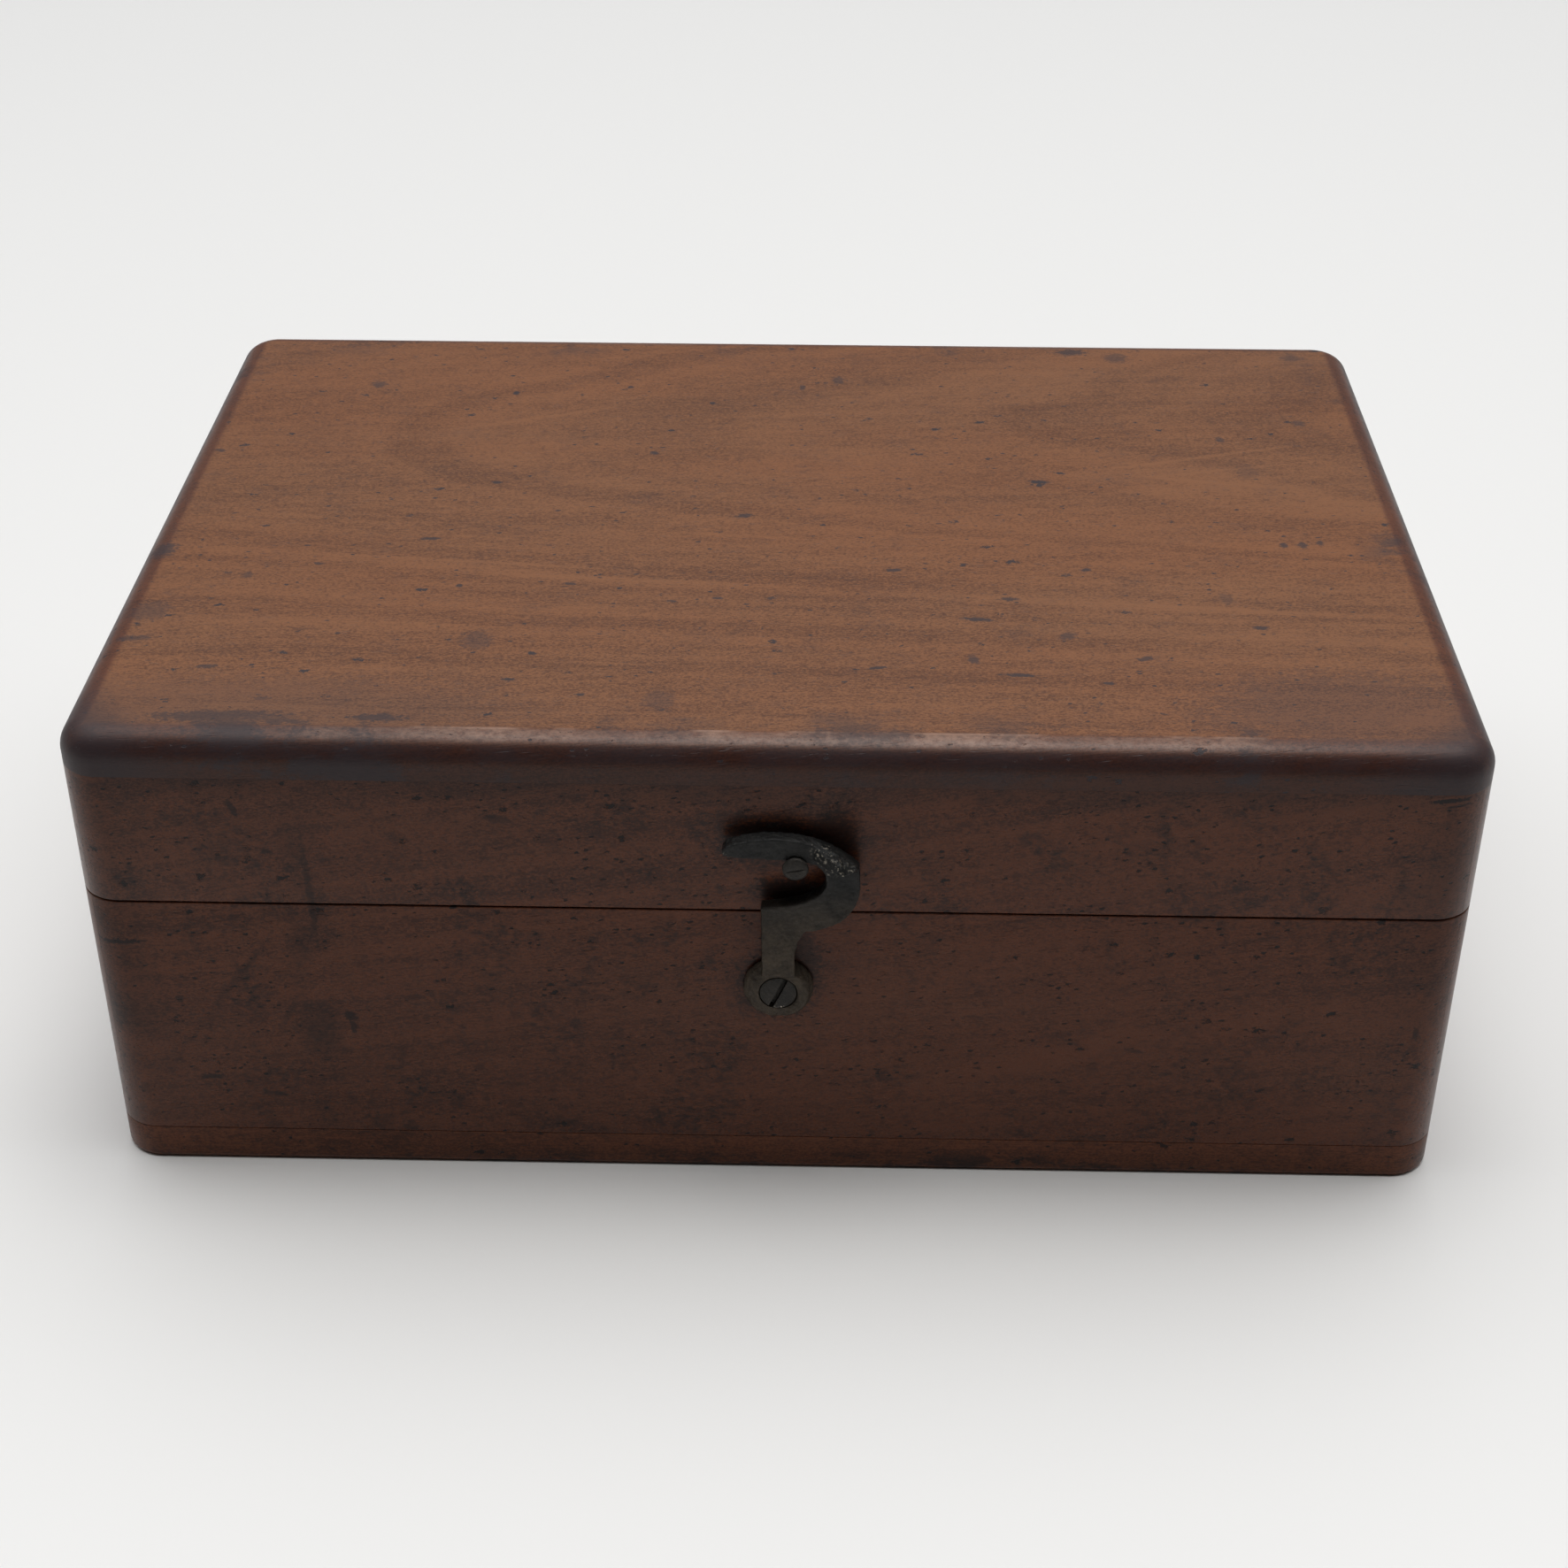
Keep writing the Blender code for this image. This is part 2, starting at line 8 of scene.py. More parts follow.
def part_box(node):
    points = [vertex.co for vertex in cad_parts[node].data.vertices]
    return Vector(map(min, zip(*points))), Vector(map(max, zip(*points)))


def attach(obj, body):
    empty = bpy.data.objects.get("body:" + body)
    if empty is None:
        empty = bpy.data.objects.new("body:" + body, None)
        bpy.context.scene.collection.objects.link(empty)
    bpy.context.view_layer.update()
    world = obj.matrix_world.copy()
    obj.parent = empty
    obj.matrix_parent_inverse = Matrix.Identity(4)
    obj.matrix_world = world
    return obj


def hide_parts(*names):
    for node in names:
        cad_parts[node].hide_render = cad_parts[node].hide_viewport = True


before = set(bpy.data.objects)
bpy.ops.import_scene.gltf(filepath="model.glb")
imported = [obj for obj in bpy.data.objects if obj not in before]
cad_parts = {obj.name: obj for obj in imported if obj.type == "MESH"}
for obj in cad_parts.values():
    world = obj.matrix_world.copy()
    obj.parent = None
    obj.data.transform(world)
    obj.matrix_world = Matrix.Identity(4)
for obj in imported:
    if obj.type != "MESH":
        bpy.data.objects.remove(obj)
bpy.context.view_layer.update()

# ------------------------------------------------------------------ camera
# A hand-held view from a little over the front edge, almost square to the box.
VIEW_AZIMUTH = radians(1.33)
VIEW_ELEVATION = radians(33.11)
VIEW_ROLL = radians(0.06)
VIEW_TARGET = Vector((-0.0001, 0, 0.0305))
VIEW_DISTANCE = 0.5530
VIEW_LENS = 58.53                # on a 36 mm wide sensor

camera = bpy.data.objects.new("camera", bpy.data.cameras.new("camera"))
camera.data.lens = VIEW_LENS
camera.data.sensor_width = 36
camera.data.clip_start = 0.01
turn = (Matrix.Rotation(VIEW_AZIMUTH, 4, "Z") @ Matrix.Rotation(pi / 2 - VIEW_ELEVATION, 4, "X")
        @ Matrix.Rotation(VIEW_ROLL, 4, "Z"))
back = turn.to_3x3() @ Vector((0, 0, 1))
camera.matrix_world = Matrix.Translation(VIEW_TARGET + back * VIEW_DISTANCE) @ turn
bpy.context.scene.collection.objects.link(camera)
bpy.context.scene.camera = camera
bpy.context.scene.view_settings.view_transform = "Standard"

# ------------------------------------------------------------------ floor and light
# A smooth white table that runs off in every direction, lit by a bright ceiling and one large
# soft lamp overhead, in a room that is dim near the horizon and dark on the viewer's side.
FLOOR_SIDE = 6.0
FLOOR_WHITE = (0.83, 0.825, 0.81, 1)

bm = bmesh.new()
bmesh.ops.create_grid(bm, x_segments=8, y_segments=8, size=FLOOR_SIDE / 2)
floor = bpy.data.objects.new("table_top", bpy.data.meshes.new("table_top"))
bm.to_mesh(floor.data)
bm.free()
bpy.context.scene.collection.objects.link(floor)
white = bpy.data.materials.new("white_table")
white.use_nodes = True
white.node_tree.nodes["Principled BSDF"].inputs["Base Color"].default_value = FLOOR_WHITE
white.node_tree.nodes["Principled BSDF"].inputs["Roughness"].default_value = 0.6
floor.data.materials.append(white)


def soft_light(name, place, aim, size, watts, colour):
    """A square soft light that looks from its place towards an aim."""
    lamp = bpy.data.objects.new(name, bpy.data.lights.new(name, "AREA"))
    lamp.data.shape = "SQUARE"
    lamp.data.size = size
    lamp.data.energy = watts
    lamp.data.color = colour
    lamp.location = place
    lamp.rotation_mode = "QUATERNION"
    lamp.rotation_quaternion = (Vector(aim) - Vector(place)).to_track_quat("-Z", "Y")
    bpy.context.scene.collection.objects.link(lamp)


soft_light("ceiling_lamp", (0.08, -0.08, 1.60), (0, 0, 0), 0.7, 8.4, (1.0, 0.99, 0.97))

ROOM_COLOUR = (0.98, 0.985, 1.0, 1)
world = bpy.data.worlds.new("room")
world.use_nodes = True
bpy.context.scene.world = world
room = world.node_tree
direction = room.nodes.new("ShaderNodeSeparateXYZ")
room.links.new(room.nodes.new("ShaderNodeTexCoord").outputs["Generated"], direction.inputs[0])


def room_light(axis, low, high, dim, bright):
    """Strength that eases from dim to bright as a direction's part along one axis grows."""
    ease = room.nodes.new("ShaderNodeMapRange")
    ease.interpolation_type = "SMOOTHSTEP"
    for name, value in (("From Min", low), ("From Max", high), ("To Min", dim), ("To Max", bright)):
        ease.inputs[name].default_value = value
    room.links.new(direction.outputs[axis], ease.inputs["Value"])
    return ease.outputs["Result"]


both = room.nodes.new("ShaderNodeMath")
both.operation = "MULTIPLY"
room.links.new(room_light("Z", 0.42, 1.00, 0.25, 2.40), both.inputs[0])
room.links.new(room_light("Y", -0.40, 0.15, 0.04, 1.0), both.inputs[1])
room.nodes["Background"].inputs["Color"].default_value = ROOM_COLOUR
room.links.new(both.outputs[0], room.nodes["Background"].inputs["Strength"])

# ------------------------------------------------------------------ lid top board
# One flat-sawn mahogany board, glued over the lid's four walls, with its edge rounded
# over to a quarter circle. Faded to a mid brown, bruised and inky along the front.
top_low, top_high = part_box("lid_top_board")
CORNER_R = 0.0079
TOP_EDGE_R = 0.0055
CORNER_STEPS = 20                # facets in a quarter of a corner
ARRIS = 0.00020                  # softened sharp edge


def step(mat, kind, settings=None, **inputs):
    """Add one shader node; an input is a value, or the socket it is fed from."""
    node = mat.node_tree.nodes.new("ShaderNode" + kind)
    for key, value in (settings or {}).items():
        setattr(node, key, value)
    for key, value in inputs.items():
        socket = node.inputs[key.replace("_", " ")]
        if isinstance(value, bpy.types.NodeSocket):
            mat.node_tree.links.new(value, socket)
        else:
            socket.default_value = value
    return node


def maths(mat, operation, *values):
    node = mat.node_tree.nodes.new("ShaderNodeMath")
    node.operation = operation
    for socket, value in zip(node.inputs, values):
        if isinstance(value, bpy.types.NodeSocket):
            mat.node_tree.links.new(value, socket)
        else:
            socket.default_value = value
    return node.outputs[0]


def window(mat, value, low, high, out_low=0.0, out_high=1.0):
    """Ease a value from one output to another between two limits."""
    node = step(mat, "MapRange", {"interpolation_type": "SMOOTHSTEP"}, Value=value,
                From_Min=low, From_Max=high, To_Min=out_low, To_Max=out_high)
    return node.outputs["Result"]


def blended(mat, share, first, second, way="MIX"):
    """Mix two colours by a share."""
    node = mat.node_tree.nodes.new("ShaderNodeMix")
    node.data_type = "RGBA"
    node.blend_type = way
    for index, value in ((0, share), (6, first), (7, second)):
        if isinstance(value, bpy.types.NodeSocket):
            mat.node_tree.links.new(value, node.inputs[index])
        else:
            node.inputs[index].default_value = value
    return node.outputs[2]


def stretched(mat, coords, scale, offset=(0, 0, 0), lean=(0, 0, 0)):
    """The same coordinates, scaled per axis, so that a pattern runs long along one of them."""
    return step(mat, "Mapping", Vector=coords, Scale=scale, Location=offset, Rotation=lean).outputs[0]


def speckle(mat, coords, scale, detail=2.0, roughness=0.5):
    return step(mat, "TexNoise", Vector=coords, Scale=scale, Detail=detail,
                Roughness=roughness).outputs["Fac"]


def marks_on(mat, coords, marks, ragged):
    """Old stains and bruises, and on the front painted shade round the hook: the strongest of several soft
    ellipses with uneven edges.
    Each mark is (centre, half sizes, lean in degrees, depth)."""
    total = None
    for centre, halves, lean, depth in marks:
        sized = step(mat, "Mapping", {"vector_type": "TEXTURE"}, Vector=coords, Location=centre,
                     Rotation=[-turn for turn in lean], Scale=halves)
        reach = step(mat, "VectorMath", {"operation": "LENGTH"})
        mat.node_tree.links.new(sized.outputs[0], reach.inputs[0])
        edge = maths(mat, "ADD", reach.outputs["Value"], ragged)
        patch = window(mat, edge, 1.15, 0.55, 0.0, depth)
        total = patch if total is None else maths(mat, "MAXIMUM", total, patch)
    return total


def mahogany(name, tones, along="X", pith=(0, 0, -0.05), tilt=(0, 0, 0), marks=(), mottle=0.3,
             figure=0.3, dirt=None, worn_and_highlit=None, gloss=0.30, shine=0.26, grain=0.30, scars=0.10,
             ink_and_shade=None, streaks=()):
    """Polished mahogany: growth rings about a pith, fibre, open pores, flecks, stains and wear.
    Tones are the wood's pale and dark colours; dirt says where it is soiled, and on the top and front also
    where shade is painted; worn says where it is pale from wear and a painted highlight.
    Scars is the share of cells that hold a fleck; streaks are places where the figure is paler."""
    ink_and_shade = ink_and_shade or INK_AND_SHADE
    mat = bpy.data.materials.new(name)
    mat.use_nodes = True
    shader = mat.node_tree.nodes["Principled BSDF"]
    place = step(mat, "TexCoord").outputs["Object"]
    spin = (0, 0, radians(90)) if along == "Y" else (0, radians(90), 0) if along == "Z" else (0, 0, 0)
    fibres = stretched(mat, place, (1, 1, 1), lean=spin)

    sway = step(mat, "TexNoise", Vector=stretched(mat, fibres, (5, 22, 22)), Scale=1.0, Detail=2.0)
    centred = step(mat, "VectorMath", {"operation": "SUBTRACT"})
    mat.node_tree.links.new(sway.outputs["Color"], centred.inputs[0])
    centred.inputs[1].default_value = (0.5, 0.5, 0.5)
    wander = step(mat, "VectorMath", {"operation": "MULTIPLY_ADD"})
    mat.node_tree.links.new(centred.outputs[0], wander.inputs[0])
    wander.inputs[1].default_value = (0, 0.010, 0.010)
    mat.node_tree.links.new(fibres, wander.inputs[2])
    fibres = wander.outputs[0]

    from_pith = stretched(mat, fibres, (1, 1, 1), offset=pith, lean=tilt)
    across = step(mat, "VectorMath", {"operation": "MULTIPLY"})
    mat.node_tree.links.new(from_pith, across.inputs[0])
    across.inputs[1].default_value = (0, 1, 1)
    radius = step(mat, "VectorMath", {"operation": "LENGTH"})
    mat.node_tree.links.new(across.outputs[0], radius.inputs[0])
    rings = step(mat, "TexNoise", {"noise_dimensions": "1D"}, W=radius.outputs["Value"], Scale=330.0,
                 Detail=5.0, Roughness=0.60).outputs["Fac"]

    leaned = stretched(mat, fibres, (1, 1, 1), lean=tilt)
    fibre = speckle(mat, stretched(mat, leaned, (55, 2600, 2600)), 1.0, 3.0, 0.65)
    silk = speckle(mat, stretched(mat, leaned, (12, 330, 330)), 1.0, 3.0, 0.6)
    patches = speckle(mat, stretched(mat, fibres, (9, 26, 26)), 1.0, 3.0, 0.55)
    grit = speckle(mat, stretched(mat, leaned, (1500, 3000, 3000)), 1.0, 2.0, 0.7)
    cloud = speckle(mat, stretched(mat, place, (620, 800, 900)), 1.0, 5.0, 0.72)
    bloom = speckle(mat, place, 95.0, 4.0, 0.65)
    pores = window(mat, speckle(mat, stretched(mat, leaned, (260, 3600, 3600)), 1.0, 1.0), 0.66, 0.80)

    ragged = window(mat, speckle(mat, stretched(mat, place, (1000, 1500, 1500)), 1.0, 4.0, 0.68),
                    0.25, 0.75, -0.40, 0.40)
    flecks = None
    for cell, share in (((210, 350, 350), scars), ((430, 900, 900), 2 * scars)):
        cells = step(mat, "TexVoronoi", Vector=stretched(mat, leaned, cell), Scale=1.0, Randomness=1.0)
        chance = step(mat, "SeparateColor", Color=cells.outputs["Color"])
        reach = maths(mat, "MULTIPLY_ADD", ragged, 0.45, cells.outputs["Distance"])
        size = window(mat, chance.outputs[1], 0.0, 1.0, -0.02, 0.20)
        fleck = window(mat, maths(mat, "SUBTRACT", reach, size), 0.04, -0.04)
        fleck = maths(mat, "MULTIPLY", fleck, window(mat, chance.outputs[0], 0.97 - share, 1.03 - share))
        flecks = fleck if flecks is None else maths(mat, "MAXIMUM", flecks, fleck)

    tone = maths(mat, "MULTIPLY_ADD", window(mat, rings, 0.28, 0.72), figure,
                 maths(mat, "MULTIPLY", window(mat, patches, 0.25, 0.75), 0.30))
    tone = maths(mat, "ADD", tone, maths(mat, "MULTIPLY", window(mat, silk, 0.25, 0.75), 0.24))
    tone = maths(mat, "ADD", tone, maths(mat, "MULTIPLY", window(mat, fibre, 0.25, 0.75), 0.34))
    tone = maths(mat, "SUBTRACT", tone, maths(mat, "MULTIPLY", window(mat, cloud, 0.40, 0.72), mottle))
    tone = maths(mat, "ADD", tone, window(mat, grit, 0.25, 0.75, -grain, grain))
    if streaks:
        tone = maths(mat, "ADD", tone, marks_on(mat, place, streaks, maths(mat, "MULTIPLY", silk, 0.8)))
    pale, dark = tones(mat, place) if callable(tones) else tones
    colour = blended(mat, window(mat, tone, -0.10, 0.95), dark, pale)
    warmth = window(mat, speckle(mat, stretched(mat, fibres, (6, 30, 30), offset=(3, 1, 2)), 1.0, 3.0),
                    0.35, 0.65)
    colour = blended(mat, maths(mat, "MULTIPLY", warmth, 0.40), colour, (1.0, 0.84, 0.70, 1), "MULTIPLY")
    murk = maths(mat, "MULTIPLY", window(mat, bloom, 0.48, 0.70), window(mat, cloud, 0.35, 0.65))
    colour = blended(mat, maths(mat, "MULTIPLY", murk, 1.6 * mottle), colour, ink_and_shade)
    colour = blended(mat, maths(mat, "MULTIPLY", pores, 0.45), colour, ink_and_shade)
    # painted highlight, partly wear: the top's crest is paled along a line and a band
    if worn_and_highlit:
        lightened = worn_and_highlit(mat, place, cloud)
        colour = blended(mat, lightened, colour, RUBBED_AND_HIGHLIT)
    # the soiling share holds flecks, stains and dirt, and on the top and front also painted shade
    soil_and_shade = maths(mat, "MULTIPLY", flecks, 0.95)
    if marks:
        soil_and_shade = maths(mat, "MAXIMUM", soil_and_shade, marks_on(mat, place, marks, ragged))
    if dirt:
        soil_and_shade = maths(mat, "MAXIMUM", soil_and_shade, dirt(mat, place, ragged))
    colour = blended(mat, soil_and_shade, colour, ink_and_shade)
    mat.node_tree.links.new(colour, shader.inputs["Base Color"])

    height = maths(mat, "MULTIPLY_ADD", fibre, 0.25, maths(mat, "MULTIPLY", pores, -0.5))
    height = maths(mat, "ADD", height, maths(mat, "MULTIPLY", flecks, -1.0))
    height = maths(mat, "ADD", height, maths(mat, "MULTIPLY", cloud, 0.30))
    bump = step(mat, "Bump", Height=height, Strength=0.40, Distance=0.0002)
    mat.node_tree.links.new(bump.outputs[0], shader.inputs["Normal"])
    rough = maths(mat, "MULTIPLY_ADD", cloud, 0.16, gloss - 0.08)
    rough = maths(mat, "MULTIPLY_ADD", soil_and_shade, 0.15, rough)
    mat.node_tree.links.new(rough, shader.inputs["Roughness"])
    shader.inputs["Specular IOR Level"].default_value = shine
    return mat


def place_piece(name, bm, mat, body, slot, *nodes, smooth=32):
    """Turn a bmesh into a piece that rides on a body and stands for its CAD nodes."""
    mesh = bpy.data.meshes.new(name)
    bm.to_mesh(mesh)
    bm.free()
    mesh.materials.append(mat)
    mesh.shade_smooth()
    mesh.set_sharp_from_angle(angle=radians(smooth))
    piece = bpy.data.objects.new(name, mesh)
    bpy.context.scene.collection.objects.link(piece)
    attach(piece, body)
    if nodes:
        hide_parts(*nodes)
    return piece


def rounded_slab(low, high, radius, steps):
    """A slab with round upright corners: a box whose four upright edges are bevelled."""
    bm = bmesh.new()
    bmesh.ops.create_cube(bm, size=1)
    bmesh.ops.scale(bm, vec=high - low, verts=bm.verts[:])
    bmesh.ops.translate(bm, vec=(low + high) / 2, verts=bm.verts[:])
    upright = [e for e in bm.edges if abs(e.verts[0].co.z - e.verts[1].co.z) > 1e-5]
    bmesh.ops.bevel(bm, geom=upright, offset=radius, segments=steps, profile=0.5,
                    affect="EDGES", material=-1)
    return bm


def round_rim(bm, height, radius, steps):
    """Round over the edge that runs round a slab at one height."""
    rim = [e for e in bm.edges if all(abs(v.co.z - height) < 1e-6 for v in e.verts)]
    bmesh.ops.bevel(bm, geom=rim, offset=radius, segments=steps, profile=0.5,
                    affect="EDGES", material=-1)


TOP_PALE = (0.214, 0.090, 0.0385, 1)
TOP_DARK = (0.094, 0.036, 0.0165, 1)
CASE_PALE = (0.116, 0.0385, 0.0180, 1)
CASE_DARK = (0.048, 0.0160, 0.0090, 1)
# the band colours darken the lower rounding of the top's edge: partly grime, partly painted shade
BAND_PALE = (0.060, 0.0175, 0.0075, 1)
BAND_DARK = (0.028, 0.0080, 0.0035, 1)
INSIDE_PALE = (0.230, 0.098, 0.046, 1)
INSIDE_DARK = (0.140, 0.055, 0.026, 1)
# the dark colour below is used for stains and flecks, and also for the top's painted shade band
INK_AND_SHADE = (0.030, 0.023, 0.027, 1)
# the pale colour of the top's crest: wear and a painted highlight
RUBBED_AND_HIGHLIT = (0.310, 0.185, 0.130, 1)


def past_crest(mat, place, margin=TOP_EDGE_R):
    """How far a place lies outside a line at a margin inside the box's plan, and its axes."""
    axes = step(mat, "SeparateXYZ", Vector=place)
    reach = [maths(mat, "SUBTRACT", maths(mat, "ABSOLUTE", axes.outputs[axis]), half - margin)
             for axis, half in (("X", top_high.x), ("Y", top_high.y))]
    return maths(mat, "MAXIMUM", *reach), axes


def top_tones(mat, place):
    """Only the flat has faded: the rounded edge is as dark as the walls, with a band towards them darkened
    partly by grime and partly as painted shade, the underside unpolished."""
    reach, axes = past_crest(mat, place)
    sheltered = window(mat, reach, -0.0006, 0.0008)
    under = maths(mat, "MULTIPLY", window(mat, axes.outputs["Z"], top_low.z + 0.0003, top_low.z + 0.0001),
                  window(mat, reach, TOP_EDGE_R - 0.0005, TOP_EDGE_R - 0.0020))
    # painted shade, partly grime: the lower band of the rounded edge turns darker
    grime_and_shade = window(mat, reach, 0.0026, 0.0041)
    pale = blended(mat, sheltered, TOP_PALE, blended(mat, grime_and_shade, CASE_PALE, BAND_PALE))
    dark = blended(mat, sheltered, TOP_DARK, blended(mat, grime_and_shade, CASE_DARK, BAND_DARK))
    return blended(mat, under, pale, INSIDE_PALE), blended(mat, under, dark, INSIDE_DARK)


def top_wear_and_highlight(mat, place, cloud):
    """The crest is pale from wear and a painted highlight: a thin broken line and a band, most of all along
    the front.
    """
    reach, axes = past_crest(mat, place)
    line = maths(mat, "MULTIPLY", window(mat, reach, -0.0003, 0.0001), window(mat, reach, 0.0009, 0.0004))
    band = maths(mat, "MULTIPLY", window(mat, reach, 0.0, 0.0008), window(mat, reach, 0.0040, 0.0020))
    along = speckle(mat, stretched(mat, place, (28, 28, 28)), 1.0, 5.0, 0.7)
    front = window(mat, axes.outputs["Y"], top_low.y + 0.014, top_low.y + 0.006, 0.25, 1.0)
    middle = window(mat, maths(mat, "ABSOLUTE", axes.outputs["X"]), 0.098, 0.074, 0.12, 1.0)
    front = maths(mat, "MULTIPLY", front, middle)
    line = maths(mat, "MULTIPLY", line, window(mat, along, 0.44, 0.56, 0.0, 0.75))
    band = maths(mat, "MULTIPLY", band, window(mat, cloud, 0.70, 0.35, 0.15, 0.75))
    band = maths(mat, "MULTIPLY", band, window(mat, along, 0.36, 0.62, 0.35, 1.0))
    line, band = maths(mat, "MULTIPLY", line, front), maths(mat, "MULTIPLY", band, front)
    return maths(mat, "MAXIMUM", line, band)


def top_dirt_and_shade(mat, place, ragged):
    """Ink and handling dirt: thick along the front edge and at its corners, thinner elsewhere; low on the
    rounded edge a band of grime and painted shade.
    """
    reach, axes = past_crest(mat, place)
    side = maths(mat, "ABSOLUTE", axes.outputs["X"])
    uneven = speckle(mat, stretched(mat, place, (40, 60, 60)), 1.0, 5.0, 0.68)
    uneven = maths(mat, "MULTIPLY_ADD", ragged, 0.10, uneven)
    front = window(mat, axes.outputs["Y"], top_low.y + 0.013, top_low.y + 0.005)
    rim = window(mat, reach, -0.0100, 0.0010)
    corner = window(mat, maths(mat, "SUBTRACT", side, axes.outputs["Y"]), 0.184, 0.208)
    along_front = maths(mat, "MULTIPLY", front, window(mat, uneven, 0.50, 0.60))
    along_front = maths(mat, "MULTIPLY", along_front, window(mat, side, 0.025, 0.075, 0.35, 1.0))
    along_rim = maths(mat, "MULTIPLY", rim, window(mat, uneven, 0.54, 0.66, 0.0, 0.8))
    at_corner = maths(mat, "MULTIPLY", corner, window(mat, uneven, 0.26, 0.52, 0.30, 1.0))
    soiled = maths(mat, "MAXIMUM", maths(mat, "MAXIMUM", along_front, along_rim), at_corner)
    # painted shade, partly grime: a darker band low on the rounded edge
    below = maths(mat, "MULTIPLY", window(mat, reach, 0.0030, 0.0043), window(mat, reach, 0.00548, 0.0051))
    below = maths(mat, "MULTIPLY", below, window(mat, uneven, 0.35, 0.60, 0.30, 0.8))
    return maths(mat, "MULTIPLY", maths(mat, "MAXIMUM", soiled, below), 0.80)


MM = 0.001
MARK_LEVEL = 0.096               # the top's marks are centred just under its face
THROUGH = 0.01                   # marks reach this far into the board and out of it
top_marks = [
    (-70.4, -13, 2.2, 0.7, 2, 0.85),
    (-120.5, 26, 1.6, 0.8, -8, 0.7),
    (-122.5, -19, 3, 3.5, -20, 0.75),
    (-119.5, -44, 5, 4, 25, 0.45),
    (-120, -54, 4, 1.2, 6, 0.6),
    (-90.5, -24, 1.2, 0.6, 0, 0.7),
    (-103.6, -29, 1, 1.4, 0, 0.5),
    (-104, -64, 2.2, 0.9, 8, 0.7),
    (-91.9, -75, 2, 1, 4, 0.6),
    (-56.1, -53, 3.2, 4.2, 0, 0.42),
    (-28.2, 27, 0.9, 1, 0, 0.85),
    (-20.7, -74, 3.4, 4.2, 0, 0.38),
    (37.4, -43, 3.4, 0.8, -5, 0.85),
    (43.6, -35, 2, 0.8, -3, 0.8),
    (36, -58, 1.1, 1.8, 15, 0.7),
    (63.7, 82, 4, 1.8, 0, 0.8),
    (73.7, 79, 3, 3, 30, 0.55),
    (113.8, 80, 3, 2, 0, 0.5),
    (110.3, 45, 1.6, 1.6, 35, 0.55),
    (96.1, 21, 2.8, 4, 0, 0.25),
    (99.3, -11.8, 0.9, 1.2, 0, 0.8),
    (103, -11.5, 1.2, 1.4, 0, 0.75),
    (106.5, -10.5, 1, 1, 0, 0.7),
    (52.3, 15.3, 2.4, 0.9, -4, 0.95),
    (-8.3, -1.5, 1.9, 1, 20, 0.8),
    (21.8, -24, 1.5, 0.8, 5, 0.85),
    (59.3, -22.8, 1.3, 0.7, 0, 0.85),
    (-62, -32.3, 0.7, 0.7, 0, 0.85),
    (-40.8, -31, 1.2, 0.6, 0, 0.7),
    (-12, -36, 1.2, 0.6, -10, 0.8),
    (-45.3, -57.8, 0.9, 0.8, 0, 0.95),
    (18.5, -61.5, 1.9, 0.7, 8, 0.85),
    (44.3, -63.5, 3.4, 0.7, -3, 0.85),
    (-48.5, -67.3, 1.6, 0.6, 0, 0.9),
    (-35, -72.3, 1.1, 0.6, 0, 0.85),
    (92.3, 36.5, 1.1, 1.5, 0, 0.65),
    (10.5, 65.3, 1.4, 2.6, 0, 0.6),
    (2.5, 61, 0.7, 1.8, 0, 0.7),
    (-35.8, 60.3, 0.8, 0.8, 0, 0.85),
    (-60.8, 56.5, 0.8, 1.1, 0, 0.95),
    (-92, 60.3, 2, 1.8, 0, 0.65),
    (-60, 12.3, 1.2, 0.6, 0, 0.85),
    (120.5, -10, 3, 2, 20, 0.6),
    (85.2, -34, 1.4, 3, 10, 0.35),
    (90.3, -45, 1.7, 0.8, 4, 0.8),
    (67.8, -57, 1.8, 0.9, 12, 0.75),
    (53.9, -49, 2, 1.4, 20, 0.6),
    (60.1, -66, 1.4, 0.6, 0, 0.8),
    (102, -74, 30, 15, 2, 0.34),
    (-90, -78, 50, 13, 0, 0.26),
    (-70, -81, 6, 1.4, 0, 0.8),
    (-99, -81, 15, 2.2, 3, 0.75),
]
top_streaks = [
    (-60, -22.5, 54, 1.2, -5, 0.42),
    (-30, -29, 60, 2.2, -4, 0.30),
    (80, -37.5, 52, 1.4, -5, 0.42),
    (62, -36, 70, 3.6, -5, 0.20),
    (-54, 44, 36, 1.6, 20, 0.30),
    (8, 20, 56, 15, 0, 0.30),
    (88, 28, 40, 1.3, 17, 0.42),
    (92, 22, 36, 1, 13, 0.34),
    (88, 16, 38, 1.4, -9, 0.34),
    (-33, -61, 16, 1, -4, 0.36),
    (-7, -10.5, 30, 1.1, -5, 0.28),
]


def on_top(rows):
    """Marks on the top from rows of x, y, half length, half width in millimetres, lean and depth."""
    return [((x * MM, y * MM, MARK_LEVEL), (long * MM, wide * MM, THROUGH), (0, 0, radians(-lean)), depth)
            for x, y, long, wide, lean, depth in rows]


top_wood = mahogany("faded_mahogany", top_tones, pith=(0, -0.040, 0.035), tilt=(0, radians(5), radians(-4)),
                    marks=on_top(top_marks), mottle=0.14, figure=0.32, dirt=top_dirt_and_shade, worn_and_highlit=top_wear_and_highlight,
                    gloss=0.34, grain=0.50, scars=0.13, streaks=on_top(top_streaks))
bm = rounded_slab(top_low, top_high, CORNER_R, CORNER_STEPS)
round_rim(bm, top_high.z, TOP_EDGE_R, 12)
place_piece("lid_top", bm, top_wood, "lid", "mahogany_top", "lid_top_board")

